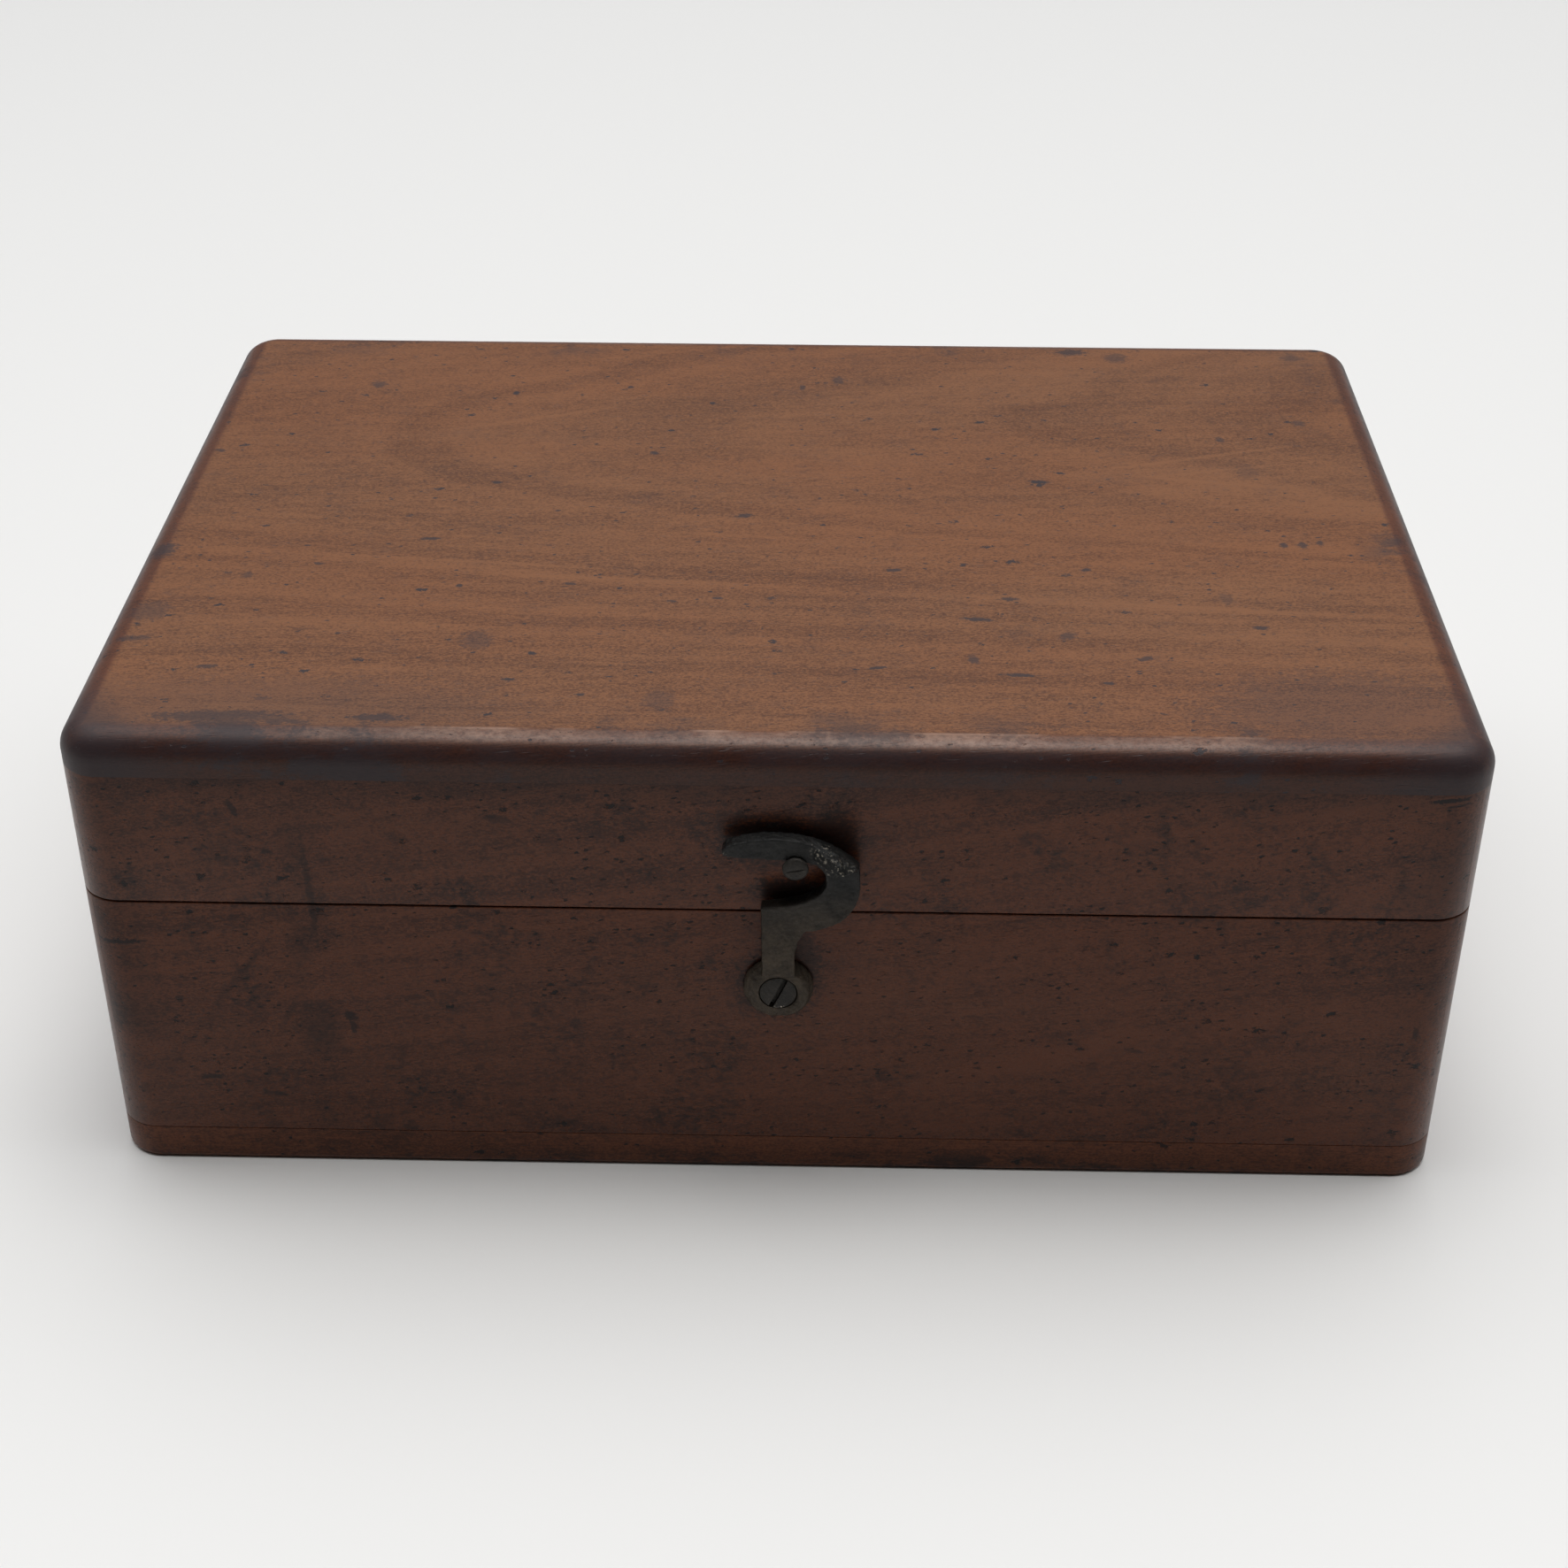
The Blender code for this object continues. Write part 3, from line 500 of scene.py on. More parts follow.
# ------------------------------------------------------------------ wall boards
# Four mitred boards make the box; it was glued up closed and the lid sawn off it, so the grain
# runs straight across the sawn line. Darker than the top, with a deep red under the polish.
MITRE_LINE = 0.00001             # half of the hairline between two glued boards
case_low, case_high = top_low.copy(), top_high.copy()
case_low.z = 0
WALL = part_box("base_front_board")[1].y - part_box("base_front_board")[0].y


def saw(bm, point, normal):
    """Saw off everything beyond a plane and close the cut."""
    parts = bm.verts[:] + bm.edges[:] + bm.faces[:]
    cut = bmesh.ops.bisect_plane(bm, geom=parts, plane_co=point, plane_no=normal,
                                 clear_outer=True)["geom_cut"]
    bmesh.ops.contextual_create(bm, geom=[e for e in cut if isinstance(e, bmesh.types.BMEdge)])


def applied(piece):
    """Make a piece's modifiers part of its mesh."""
    bpy.context.view_layer.update()
    graph = bpy.context.evaluated_depsgraph_get()
    piece.data = bpy.data.meshes.new_from_object(piece.evaluated_get(graph))
    piece.modifiers.clear()


def cut_from(piece, tool_bm):
    """Cut a tool shape out of a piece, and leave no tool behind."""
    bmesh.ops.recalc_face_normals(tool_bm, faces=tool_bm.faces[:])
    mesh = bpy.data.meshes.new("tool")
    tool_bm.to_mesh(mesh)
    tool_bm.free()
    tool = bpy.data.objects.new("tool", mesh)
    bpy.context.scene.collection.objects.link(tool)
    cut = piece.modifiers.new("cut", "BOOLEAN")
    cut.operation = "DIFFERENCE"
    cut.solver = "EXACT"
    cut.object = tool
    applied(piece)
    bpy.data.objects.remove(tool, do_unlink=True)


def wall_board(side, bottom, top, arrises):
    """One mitred wall between two heights; arrises gives the heights and radii of softened edges."""
    low, high = case_low.copy(), case_high.copy()
    low.z, high.z = bottom, top
    bm = rounded_slab(low, high, CORNER_R, CORNER_STEPS)
    for height, radius in arrises:
        round_rim(bm, height, radius, 3)
    face = Vector((side[0], side[1], 0))
    along = Vector((-side[1], side[0], 0))
    reach = abs(face.dot(high))
    saw(bm, face * (reach - WALL), -face)
    for end in (1, -1):
        corner = face * reach + along * end * abs(along.dot(high))
        outward = (along * end - face).normalized()
        saw(bm, corner - outward * MITRE_LINE, outward)
    return bm


STREAK_X = -0.085                # a dark upright streak on the front


def front_dirt_and_shade(mat, place, ragged):
    """Painted shade under the top edge, darker ends and one dark upright streak."""
    axes = step(mat, "SeparateXYZ", Vector=place)
    side = maths(mat, "ABSOLUTE", axes.outputs["X"])
    uneven = speckle(mat, stretched(mat, place, (26, 26, 40)), 1.0, 4.0, 0.7)
    ends = maths(mat, "MULTIPLY", window(mat, side, 0.106, 0.127), window(mat, uneven, 0.40, 0.65))
    off_streak = maths(mat, "ABSOLUTE", maths(mat, "SUBTRACT", axes.outputs["X"], STREAK_X))
    streak = maths(mat, "MULTIPLY", window(mat, off_streak, 0.006, 0.001), window(mat, uneven, 0.40, 0.60))
    # painted shade: the front darkens towards the top edge
    shade_under_edge = maths(mat, "MULTIPLY", window(mat, axes.outputs["Z"], 0.0820, 0.0884),
                       window(mat, uneven, 0.30, 0.62, 0.35, 1.0))
    soiled = maths(mat, "MAXIMUM", maths(mat, "MAXIMUM", ends, streak), shade_under_edge)
    return maths(mat, "MULTIPLY", soiled, 0.45)


FRONT = case_low.y
front_stains_and_hook_shade = [
    (118.5, 87.1, 4.6, 0.6, 7, 0.95),
    (120, 86, 3, 0.4, 9, 0.8),
    (-120.5, 52, 5.2, 0.7, 5, 0.9),
    (-78.7, 33.1, 0.7, 2.2, 0, 0.75),
    (-49.1, 80.6, 3, 1.2, -12, 0.5),
    (-14.4, 91.1, 2.2, 1.8, 0, 0.6),
    (-98, 46, 11, 0.8, 55, 0.35),
    (-90, 37, 6, 0.7, 62, 0.35),
    (-84, 64, 0.8, 15, 2, 0.55),
    (-96, 82, 0.8, 2.2, 20, 0.75),
    (-90.8, 72.8, 1.2, 0.7, 10, 0.70),
    (-87, 69, 1.2, 1.2, 0, 0.55),
    (-79, 35.5, 1.6, 1.2, -30, 0.80),
    (-107, 20.5, 3, 0.7, 4, 0.75),
    (-94.5, 16.5, 1.8, 0.6, -8, 0.65),
    (-110.8, 39, 0.9, 0.9, 0, 0.65),
    (-15.8, 87.8, 1.8, 1, 0, 0.65),
    (68, 30, 1.8, 0.5, -14, 0.55),
    (119.3, 35.3, 0.7, 1.8, 0, 0.65),
    # painted shade: these five marks darken the wood round the hook's arm, thumb-piece, throat, boss and
    # shank, where the hook shades it
    (0.6, 76.6, 12.5, 5.8, 2, 0.80),
    (10.5, 77.2, 6, 8, 0, 0.75),
    (3.5, 65.5, 7.8, 3.6, -6, 0.85),
    (1, 44.9, 8.8, 8.6, 0, 0.75),
    (5, 52, 4, 8, 20, 0.60),
]
front_streaks = [
    (54, 29, 58, 5, 17, 0.42),
    (85, 36, 30, 3, 19, 0.35),
    (-40, 74, 60, 4, 2, 0.15),
    (60, 78, 50, 5, -3, 0.15),
]
# the case's dark colour for flecks and stains, also used for the painted shade round the hook and under the
# front's top edge
SOOT_AND_SHADE = (0.0070, 0.0050, 0.0058, 1)
base_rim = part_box("base_front_board")[1].z
lid_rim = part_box("lid_front_board")[0].z
bottom_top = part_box("bottom_board")[1].z


def on_front(rows):
    """Marks on the front from rows of x, z, half length, half height in millimetres, lean and depth."""
    return [((x * MM, FRONT, z * MM), (long * MM, THROUGH, tall * MM), (0, radians(lean), 0), depth)
            for x, z, long, tall, lean, depth in rows]


def case_tones(mat, place):
    """Polished dark outside; plain wood inside and on the sawn rims where lid and base meet."""
    reach, axes = past_crest(mat, place, WALL)
    inside = window(mat, reach, 0.0006, 0.0002)
    above_seam = maths(mat, "SUBTRACT", axes.outputs["Z"], (base_rim + lid_rim) / 2)
    off_seam = maths(mat, "ABSOLUTE", above_seam)
    sawn = maths(mat, "MULTIPLY", window(mat, off_seam, 0.00022, 0.00017),
                 window(mat, reach, WALL - 0.0001, WALL - 0.0009, 0, 0.75))
    bare = maths(mat, "MAXIMUM", inside, sawn)
    return blended(mat, bare, CASE_PALE, INSIDE_PALE), blended(mat, bare, CASE_DARK, INSIDE_DARK)


front_wood = mahogany("dark_mahogany_front", case_tones, pith=(0, 0.03, -0.02), tilt=(0, radians(9), 0),
                      marks=on_front(front_stains_and_hook_shade), mottle=0.46, figure=0.44, dirt=front_dirt_and_shade, gloss=0.28,
                      shine=0.20, grain=0.60, scars=0.34, ink_and_shade=SOOT_AND_SHADE, streaks=on_front(front_streaks))
back_wood = mahogany("dark_mahogany_back", case_tones, pith=(0, -0.05, -0.03), tilt=(0, radians(-5), 0),
                     mottle=0.35, gloss=0.30, shine=0.20, grain=0.42, scars=0.20, ink_and_shade=SOOT_AND_SHADE)
end_wood = mahogany("dark_mahogany_ends", case_tones, along="Y", pith=(0, 0.02, -0.04),
                    tilt=(0, radians(6), 0), mottle=0.35, gloss=0.30, shine=0.20, grain=0.42, scars=0.20,
                    ink_and_shade=SOOT_AND_SHADE)

pins = [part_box(side + "_hinge_pin") for side in ("left", "right")]
hinge_line = (pins[0][0] + pins[0][1]) / 2
LID_OPENING = radians(105)       # the sloped rear arrises meet at this angle
RIM_NEAR = 0.00010               # the rims stand this much closer than the plain solids
JOINT_EDGE = 0.00010             # rounding of the walls' feet at the glued joint
KNUCKLE_ROOM = 0.0021            # housings' radius round a hinge's knuckles
LEAF_ROOM = 0.0026               # height of both leaves' housings together
END_ROOM = 0.0002
leaf_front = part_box("left_hinge_lower_leaf")[0].y


def ready_for_hinges(name, up):
    """Slope a back board's rear arris and sink the housings of both hinges in its rim."""
    board = bpy.data.objects[name]
    bm = bmesh.new()
    bm.from_mesh(board.data)
    slope = Vector((0, sin(LID_OPENING / 2), -up * cos(LID_OPENING / 2)))
    saw(bm, Vector((0, hinge_line.y, hinge_line.z)) - slope * MITRE_LINE, slope)
    bm.to_mesh(board.data)
    bm.free()
    for low, high in pins:
        room = high.x - low.x + 2 * END_ROOM
        along = Matrix.Translation((low + high) / 2) @ Matrix.Rotation(radians(90), 4, "Y")
        bm = bmesh.new()
        bmesh.ops.create_cone(bm, cap_ends=True, segments=40, radius1=KNUCKLE_ROOM, radius2=KNUCKLE_ROOM,
                              depth=room, matrix=along)
        cut_from(board, bm)
        sunk_depth = hinge_line.y - leaf_front + END_ROOM
        middle = Vector(((low.x + high.x) / 2, hinge_line.y - sunk_depth / 2, hinge_line.z))
        bm = bmesh.new()
        bmesh.ops.create_cube(bm, size=1)
        bmesh.ops.scale(bm, vec=(room, sunk_depth, LEAF_ROOM), verts=bm.verts[:])
        bmesh.ops.translate(bm, vec=middle, verts=bm.verts[:])
        cut_from(board, bm)
    board.data.shade_smooth()
    board.data.set_sharp_from_angle(angle=radians(32))


SIDES = {"front": ((0, -1), front_wood), "back": ((0, 1), back_wood),
         "left": ((-1, 0), end_wood), "right": ((1, 0), end_wood)}
for side, (facing, wood) in SIDES.items():
    foot, rim = bottom_top + MITRE_LINE, base_rim + RIM_NEAR
    bm = wall_board(facing, foot, rim, ((foot, JOINT_EDGE), (rim, ARRIS)))
    place_piece("base_" + side, bm, wood, "base", "mahogany_case", "base_" + side + "_board")
    bm = wall_board(facing, lid_rim - RIM_NEAR, top_low.z - MITRE_LINE, ((lid_rim - RIM_NEAR, ARRIS),))
    place_piece("lid_" + side, bm, wood, "lid", "mahogany_case", "lid_" + side + "_board")
ready_for_hinges("base_back", -1)
ready_for_hinges("lid_back", 1)

# ------------------------------------------------------------------ bottom board
# A thin board glued up under the walls, flush with them, its lower edge barely softened. A
# little paler and browner than the walls, and bruised along its foot.
BOTTOM_EDGE = 0.0012


def bottom_tones(mat, place):
    """The walls' wood a shade paler, and bare underneath."""
    depth = step(mat, "SeparateXYZ", Vector=place).outputs["Z"]
    under = window(mat, depth, 0.0005, 0.0002)
    return (blended(mat, under, (0.142, 0.046, 0.019, 1), INSIDE_PALE),
            blended(mat, under, (0.062, 0.020, 0.0095, 1), INSIDE_DARK))


def bottom_dirt(mat, place, ragged):
    """Floor dirt and bruises along the foot."""
    depth = step(mat, "SeparateXYZ", Vector=place).outputs["Z"]
    uneven = speckle(mat, stretched(mat, place, (60, 60, 160)), 1.0, 5.0, 0.7)
    return maths(mat, "MULTIPLY", window(mat, depth, 0.0055, 0.0015, 0.15, 0.75),
                 window(mat, maths(mat, "MULTIPLY_ADD", ragged, 0.12, uneven), 0.50, 0.62))


bottom_wood = mahogany("dark_mahogany_bottom", bottom_tones, pith=(0, 0.03, 0.01), tilt=(0, radians(1), 0),
                       mottle=0.30, figure=0.20, dirt=bottom_dirt, gloss=0.32, shine=0.20, grain=0.5,
                       scars=0.25, ink_and_shade=SOOT_AND_SHADE)
low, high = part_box("bottom_board")
bm = rounded_slab(low, high, CORNER_R, CORNER_STEPS)
round_rim(bm, low.z, BOTTOM_EDGE, 4)
round_rim(bm, high.z, JOINT_EDGE * 1.5, 3)
place_piece("bottom", bm, bottom_wood, "base", "mahogany_case", "bottom_board")

# ------------------------------------------------------------------ hook latch
# A question-mark hook, sand-cast in brass in one piece with its boss and thumb-piece, and left
# rough. Dark with age; only the throat, where it rubs the catch, and the thumb-piece show metal.
screw_low, screw_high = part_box("hook_pivot_screw")
PIVOT = Vector(((screw_low.x + screw_high.x) / 2, case_low.y, (screw_low.z + screw_high.z) / 2))
BOSS_R = 6.5
BOSS_DEPTHS = (0.30, 2.75)       # millimetres in front of the wood
PLATE_DEPTHS = (1.35, 4.15)
CAST_GRID = 0.00021
HEAD_R = 3.5


def arc(centre, radius, start, end, steps):
    """Points on an arc, angles in degrees from +X."""
    turns = [radians(start + (end - start) * i / steps) for i in range(steps + 1)]
    return [(centre[0] + radius * cos(a), centre[1] + radius * sin(a)) for a in turns]


def at_pivot(x, depth, z):
    """A place in millimetres from the pivot, and in front of the wood."""
    return PIVOT + Vector((x, -depth, z)) * MM


def level(depth, outline):
    """A ring that lies at one depth, from an outline of (x, z)."""
    return [(x, depth, z) for x, z in outline]


def cast(bm, *rings):
    """Add a closed lump through rings of equal length; a ring is a list of (x, depth, z)."""
    loops = []
    for ring in rings:
        verts = [bm.verts.new(at_pivot(*point)) for point in ring]
        loops.append([bm.edges.new(pair) for pair in zip(verts, verts[1:] + verts[:1])])
    for loop in (loops[0], loops[-1]):
        bmesh.ops.contextual_create(bm, geom=loop)
    for pair in zip(loops, loops[1:]):
        bmesh.ops.bridge_loops(bm, edges=pair[0] + pair[1])


def turned(profile, place, direction, steps=48):
    """Spin (radius, height) millimetres about +Z, and stand the shape at a place along a direction."""
    bm = bmesh.new()
    verts = [bm.verts.new((radius * MM, 0, height * MM)) for radius, height in profile]
    edges = [bm.edges.new(pair) for pair in zip(verts, verts[1:])]
    bmesh.ops.spin(bm, geom=verts + edges, cent=(0, 0, 0), axis=(0, 0, 1), angle=2 * pi,
                   steps=steps, use_merge=True)
    bmesh.ops.remove_doubles(bm, verts=bm.verts[:], dist=1e-6)
    bmesh.ops.recalc_face_normals(bm, faces=bm.faces[:])
    lean = Vector((0, 0, 1)).rotation_difference(Vector(direction)).to_matrix().to_4x4()
    bmesh.ops.transform(bm, matrix=Matrix.Translation(place) @ lean, verts=bm.verts[:])
    return bm


def old_metal(name, tones, bare, metallic, rough, skin, spots=(), relief=0.00022):
    """Cast or turned metal under a patchy skin of age; bare metal shows at a few rubbed spots.
    A spot is (centre, radius, depth of the rubbing); skin is the size of the casting's grain."""
    mat = bpy.data.materials.new(name)
    mat.use_nodes = True
    shader = mat.node_tree.nodes["Principled BSDF"]
    place = step(mat, "TexCoord").outputs["Object"]
    grit = speckle(mat, place, 1 / skin, 4.0, 0.7)
    patches = speckle(mat, place, 0.22 / skin, 4.0, 0.62)
    share = maths(mat, "MULTIPLY_ADD", window(mat, grit, 0.30, 0.70), 0.45,
                  maths(mat, "MULTIPLY", window(mat, patches, 0.32, 0.68), 0.55))
    dark, light = tones(mat, place) if callable(tones) else tones
    colour = blended(mat, share, dark, light)
    lightened = window(mat, grit, 0.70, 0.78, 0.0, 0.5)
    for centre, radius, depth in spots:
        away = step(mat, "VectorMath", {"operation": "DISTANCE"})
        mat.node_tree.links.new(place, away.inputs[0])
        away.inputs[1].default_value = centre
        near = window(mat, away.outputs["Value"], radius, radius * 0.55, 0.0, depth)
        chipped = maths(mat, "MULTIPLY", near, window(mat, grit, 0.54, 0.66))
        lightened = maths(mat, "MAXIMUM", lightened, chipped)
    colour = blended(mat, lightened, colour, bare)
    mat.node_tree.links.new(colour, shader.inputs["Base Color"])
    mat.node_tree.links.new(maths(mat, "MULTIPLY_ADD", lightened, 1 - metallic, metallic),
                            shader.inputs["Metallic"])
    dull = maths(mat, "MULTIPLY_ADD", grit, 0.24, rough - 0.12)
    mat.node_tree.links.new(maths(mat, "MULTIPLY_ADD", lightened, -0.30, dull), shader.inputs["Roughness"])
    bump = step(mat, "Bump", Height=maths(mat, "ADD", grit, maths(mat, "MULTIPLY", patches, 0.6)),
                Strength=0.9, Distance=relief)
    mat.node_tree.links.new(bump.outputs[0], shader.inputs["Normal"])
    shader.inputs["Specular IOR Level"].default_value = 0.3
    return mat


BARE_BRASS = (0.480, 0.430, 0.350, 1)


def hook_tones(mat, place):
    """Blue-black on the arm, browner where the shank has been handled."""
    axes = step(mat, "SeparateXYZ", Vector=place)
    handled = window(mat, axes.outputs["Z"], PIVOT.z + 0.027, PIVOT.z + 0.010)
    return (blended(mat, handled, (0.005, 0.0055, 0.0055, 1), (0.020, 0.015, 0.010, 1)),
            blended(mat, handled, (0.022, 0.0215, 0.0205, 1), (0.074, 0.055, 0.037, 1)))


bare_spots = ((at_pivot(8.8, 4.3, 28.3), 0.0024, 0.30), (at_pivot(11.4, 8.4, 31.0), 0.0034, 0.9),
              (at_pivot(8.0, 5.0, 33.0), 0.0030, 0.6), (at_pivot(-9.6, 4.2, 31.4), 0.0010, 0.9))
hook_finish = old_metal("sand_cast_patina", hook_tones, BARE_BRASS, 0.35, 0.50, 0.0006, spots=bare_spots)

bowl = arc((5.5, 24.4), 9.15, -72, 8, 12)
arm_top = arc((-0.8, 13.4), 21.6, 45, 113, 16)
arm_under = [(-10.0, 32.3), (-9.6, 31.3), (-8.4, 31.0), (-6.6, 30.85), (-3.0, 30.7), (1.2, 30.65),
             (4.2, 30.35)]
throat = arc((4.7, 26.1), 3.95, 72, -62, 9)
shoulder = [(5.2, 21.7), (3.6, 21.15), (0.7, 20.5), (-1.6, 20.2), (-3.05, 20.0)]
neck = [(3.0, 8.0), (3.05, 10.2), (3.75, 12.9), (4.9, 15.0), (6.4, 15.15)]
curl = bowl + arm_top + arm_under + throat + shoulder
thumb_root = [(5.2, 31.0), (8.6, 29.6), (11.6, 28.4), (14.0, 27.4), (14.3, 28.9), (10.8, 32.2), (6.0, 34.1)]
thumb_waist = [(5.6, 3.9, 31.0), (8.8, 5.6, 29.9), (11.6, 5.8, 29.0), (13.9, 5.6, 29.1), (14.1, 5.4, 30.6),
               (10.9, 5.4, 32.5), (6.4, 4.2, 33.6)]
thumb_tip = [(6.8, 4.8, 31.4), (9.4, 7.7, 30.5), (11.6, 8.4, 30.1), (13.6, 8.2, 31.1), (13.8, 8.0, 32.0),
             (11.2, 7.8, 32.2), (7.4, 5.2, 32.9)]

bm = bmesh.new()
disc = [(BOSS_DEPTHS[0], BOSS_R), (1.1, BOSS_R), (1.75, 6.1), (2.35, 5.2), (BOSS_DEPTHS[1], 4.2)]
cast(bm, *(level(depth, arc((0, 0), radius, 0, 352.5, 47)) for depth, radius in disc))
cast(bm, level(PLATE_DEPTHS[0], curl + [(-3.0, 3.0), (3.1, 3.0)] + neck),
     level(2.6, curl + [(-3.0, 3.4), (3.1, 3.4)] + neck),
     level(PLATE_DEPTHS[1], curl + [(-2.9, 4.9), (3.0, 4.9)] + neck))
cast(bm, *(level(depth, arc((0, 0), outer, -start, start, 14) + arc((0, 0), inner, start, -start, 14))
           for depth, start, outer, inner in ((0.8, 95, 6.2, 3.7), (2.3, 80, 5.9, 3.7), (3.1, 60, 5.3, 3.8))))
cast(bm, level(2.2, thumb_root), thumb_waist, thumb_tip)
bmesh.ops.recalc_face_normals(bm, faces=bm.faces[:])
hook = place_piece("hook", bm, hook_finish, "hook", "patinated_brass", "hook_latch", smooth=60)
melt = hook.modifiers.new("one_casting", "REMESH")
melt.mode = "VOXEL"
melt.voxel_size = CAST_GRID
applied(hook)
bm = bmesh.new()
bm.from_mesh(hook.data)
for _ in range(3):
    bmesh.ops.smooth_vert(bm, verts=bm.verts[:], factor=0.5, use_axis_x=True, use_axis_y=True,
                          use_axis_z=True)
bm.normal_update()
thumb = at_pivot(11.2, 7.5, 31.2)
for vert in bm.verts:
    rough_here = max(0.0, 1 - (vert.co - thumb).length / 0.0052)
    lumps = noise.noise(vert.co * 330) * 0.00011 + noise.noise(vert.co * 1200) * 0.00011
    tears = noise.noise(vert.co * 620) * 0.00045 + noise.noise(vert.co * 1500) * 0.00026
    vert.co += vert.normal * (lumps + rough_here * tears)
bm.to_mesh(hook.data)
bm.free()
FACE = BOSS_DEPTHS[1] + 0.15     # depth of the screw's face
seat = [(0, -3), (HEAD_R + 0.1, -3), (HEAD_R + 0.1, 0.4), (2.0, 1.9), (2.0, 6), (0, 6)]
cut_from(hook, turned(seat, at_pivot(0, FACE, 0), (0, 1, 0)))
hook.data.shade_smooth()
hook.data.set_sharp_from_angle(angle=radians(50))

# ------------------------------------------------------------------ pivot screw
# A slotted countersunk brass screw through the boss into the front board, as dark as the hook.
SCREW_TONES = ((0.013, 0.0125, 0.0115, 1), (0.038, 0.032, 0.026, 1))
screw_finish = old_metal("dark_screw", SCREW_TONES, BARE_BRASS, 0.40, 0.42, 0.0005,
                         spots=((at_pivot(0.3, FACE, -3.4), 0.0015, 1.0),))


def slotted_screw(name, profile, place, slot, lean, finish, body, node):
    """A turned screw facing -Y with a saw cut across its head; slot is its width and depth."""
    screw = place_piece(name, turned(profile, place, (0, 1, 0)), finish, body, "patinated_brass", node)
    bm = bmesh.new()
    bmesh.ops.create_cube(bm, size=1)
    bmesh.ops.scale(bm, vec=Vector((12, 2 * slot[1], slot[0])) * MM, verts=bm.verts[:])
    bmesh.ops.rotate(bm, cent=(0, 0, 0), matrix=Matrix.Rotation(radians(-lean), 3, "Y"), verts=bm.verts[:])
    bmesh.ops.translate(bm, vec=place, verts=bm.verts[:])
    cut_from(screw, bm)
    edges = screw.modifiers.new("softened", "BEVEL")
    edges.width = 0.00007
    edges.segments = 2
    edges.limit_method = "ANGLE"
    edges.angle_limit = radians(40)
    applied(screw)
    screw.data.shade_smooth()
    screw.data.set_sharp_from_angle(angle=radians(40))


length = (screw_high.y - screw_low.y) / MM
profile = [(0, -0.12), (1.6, -0.08), (2.9, 0.0), (3.35, 0.10), (3.5, 0.32), (3.3, 0.55), (1.9, 1.8),
           (1.9, length - 3.4), (0, length)]
slotted_screw("pivot_screw", profile, at_pivot(0, FACE, 0), (0.9, 0.9), 66, screw_finish, "base",
              "hook_pivot_screw")

# ------------------------------------------------------------------ catch pin
# A round-headed screw left standing proud of the lid's front, which the hook's arm holds down.
pin_low, pin_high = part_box("catch_pin")
pin_face = Vector(((pin_low.x + pin_high.x) / 2, pin_low.y, (pin_low.z + pin_high.z) / 2))
length = (pin_high.y - pin_low.y) / MM
profile = [(0, 0), (1.2, 0.03), (1.8, 0.12), (2.15, 0.30), (2.35, 0.58), (2.35, 0.76), (2.2, 0.93),
           (1.2, 0.95), (1.2, length - 2), (0, length)]
slotted_screw("catch_screw", profile, pin_face, (0.35, 0.13), 12, screw_finish, "lid", "catch_pin")

# ------------------------------------------------------------------ hinges
# Two pairs of small brass butts let into the rear rims: upper and lower leaves whose knuckles
# interleave on a brass pin, each held by two countersunk screws. Yellow-brown with age.
HINGE_TONES = ((0.115, 0.080, 0.034, 1), (0.340, 0.240, 0.105, 1))
OLD_BRASS = (0.560, 0.430, 0.210, 1)
hinge_finish = old_metal("old_hinge_brass", HINGE_TONES, OLD_BRASS, 0.80, 0.36, 0.0010, relief=0.00004)
SOFT_EDGE = 0.00008


def softened(node, name, body):
    """A CAD piece with its facets merged and its sharp edges eased, in old brass."""
    bm = bmesh.new()
    bm.from_mesh(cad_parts[node].data)
    bmesh.ops.remove_doubles(bm, verts=bm.verts[:], dist=1e-6)
    bmesh.ops.dissolve_limit(bm, angle_limit=radians(1), verts=bm.verts[:], edges=bm.edges[:])
    sharp = [e for e in bm.edges if e.is_manifold and e.calc_face_angle(0) > radians(50)]
    bmesh.ops.bevel(bm, geom=sharp, offset=SOFT_EDGE, segments=2, profile=0.5, affect="EDGES",
                    material=-1, clamp_overlap=True)
    return place_piece(name, bm, hinge_finish, body, "old_brass", node, smooth=30)


for side in ("left", "right"):
    softened(side + "_hinge_pin", side + "_pin", "base")
    for level_name, body in (("upper", "lid"), ("lower", "base")):
        stem = side + "_hinge_" + level_name
        softened(stem + "_leaf", side + "_" + level_name + "_leaf", body)
        for number in ("1", "2"):
            softened(stem + "_screw_" + number, side + "_" + level_name + "_screw_" + number, body)

# ------------------------------------------------------------------ partition
# A thin mahogany board let in between front and back, its top edge rounded, that parts the box
# into two compartments. Waxed, not polished.
INSIDE = (INSIDE_PALE, INSIDE_DARK)
partition_wood = mahogany("waxed_mahogany_partition", INSIDE, along="Y", pith=(0.01, 0, 0.03), mottle=0.2,
                          gloss=0.42)
inner_wood = mahogany("waxed_mahogany_inner_lids", INSIDE, pith=(0, 0.02, 0.04),
                      tilt=(0, radians(4), radians(3)), mottle=0.2, gloss=0.40)


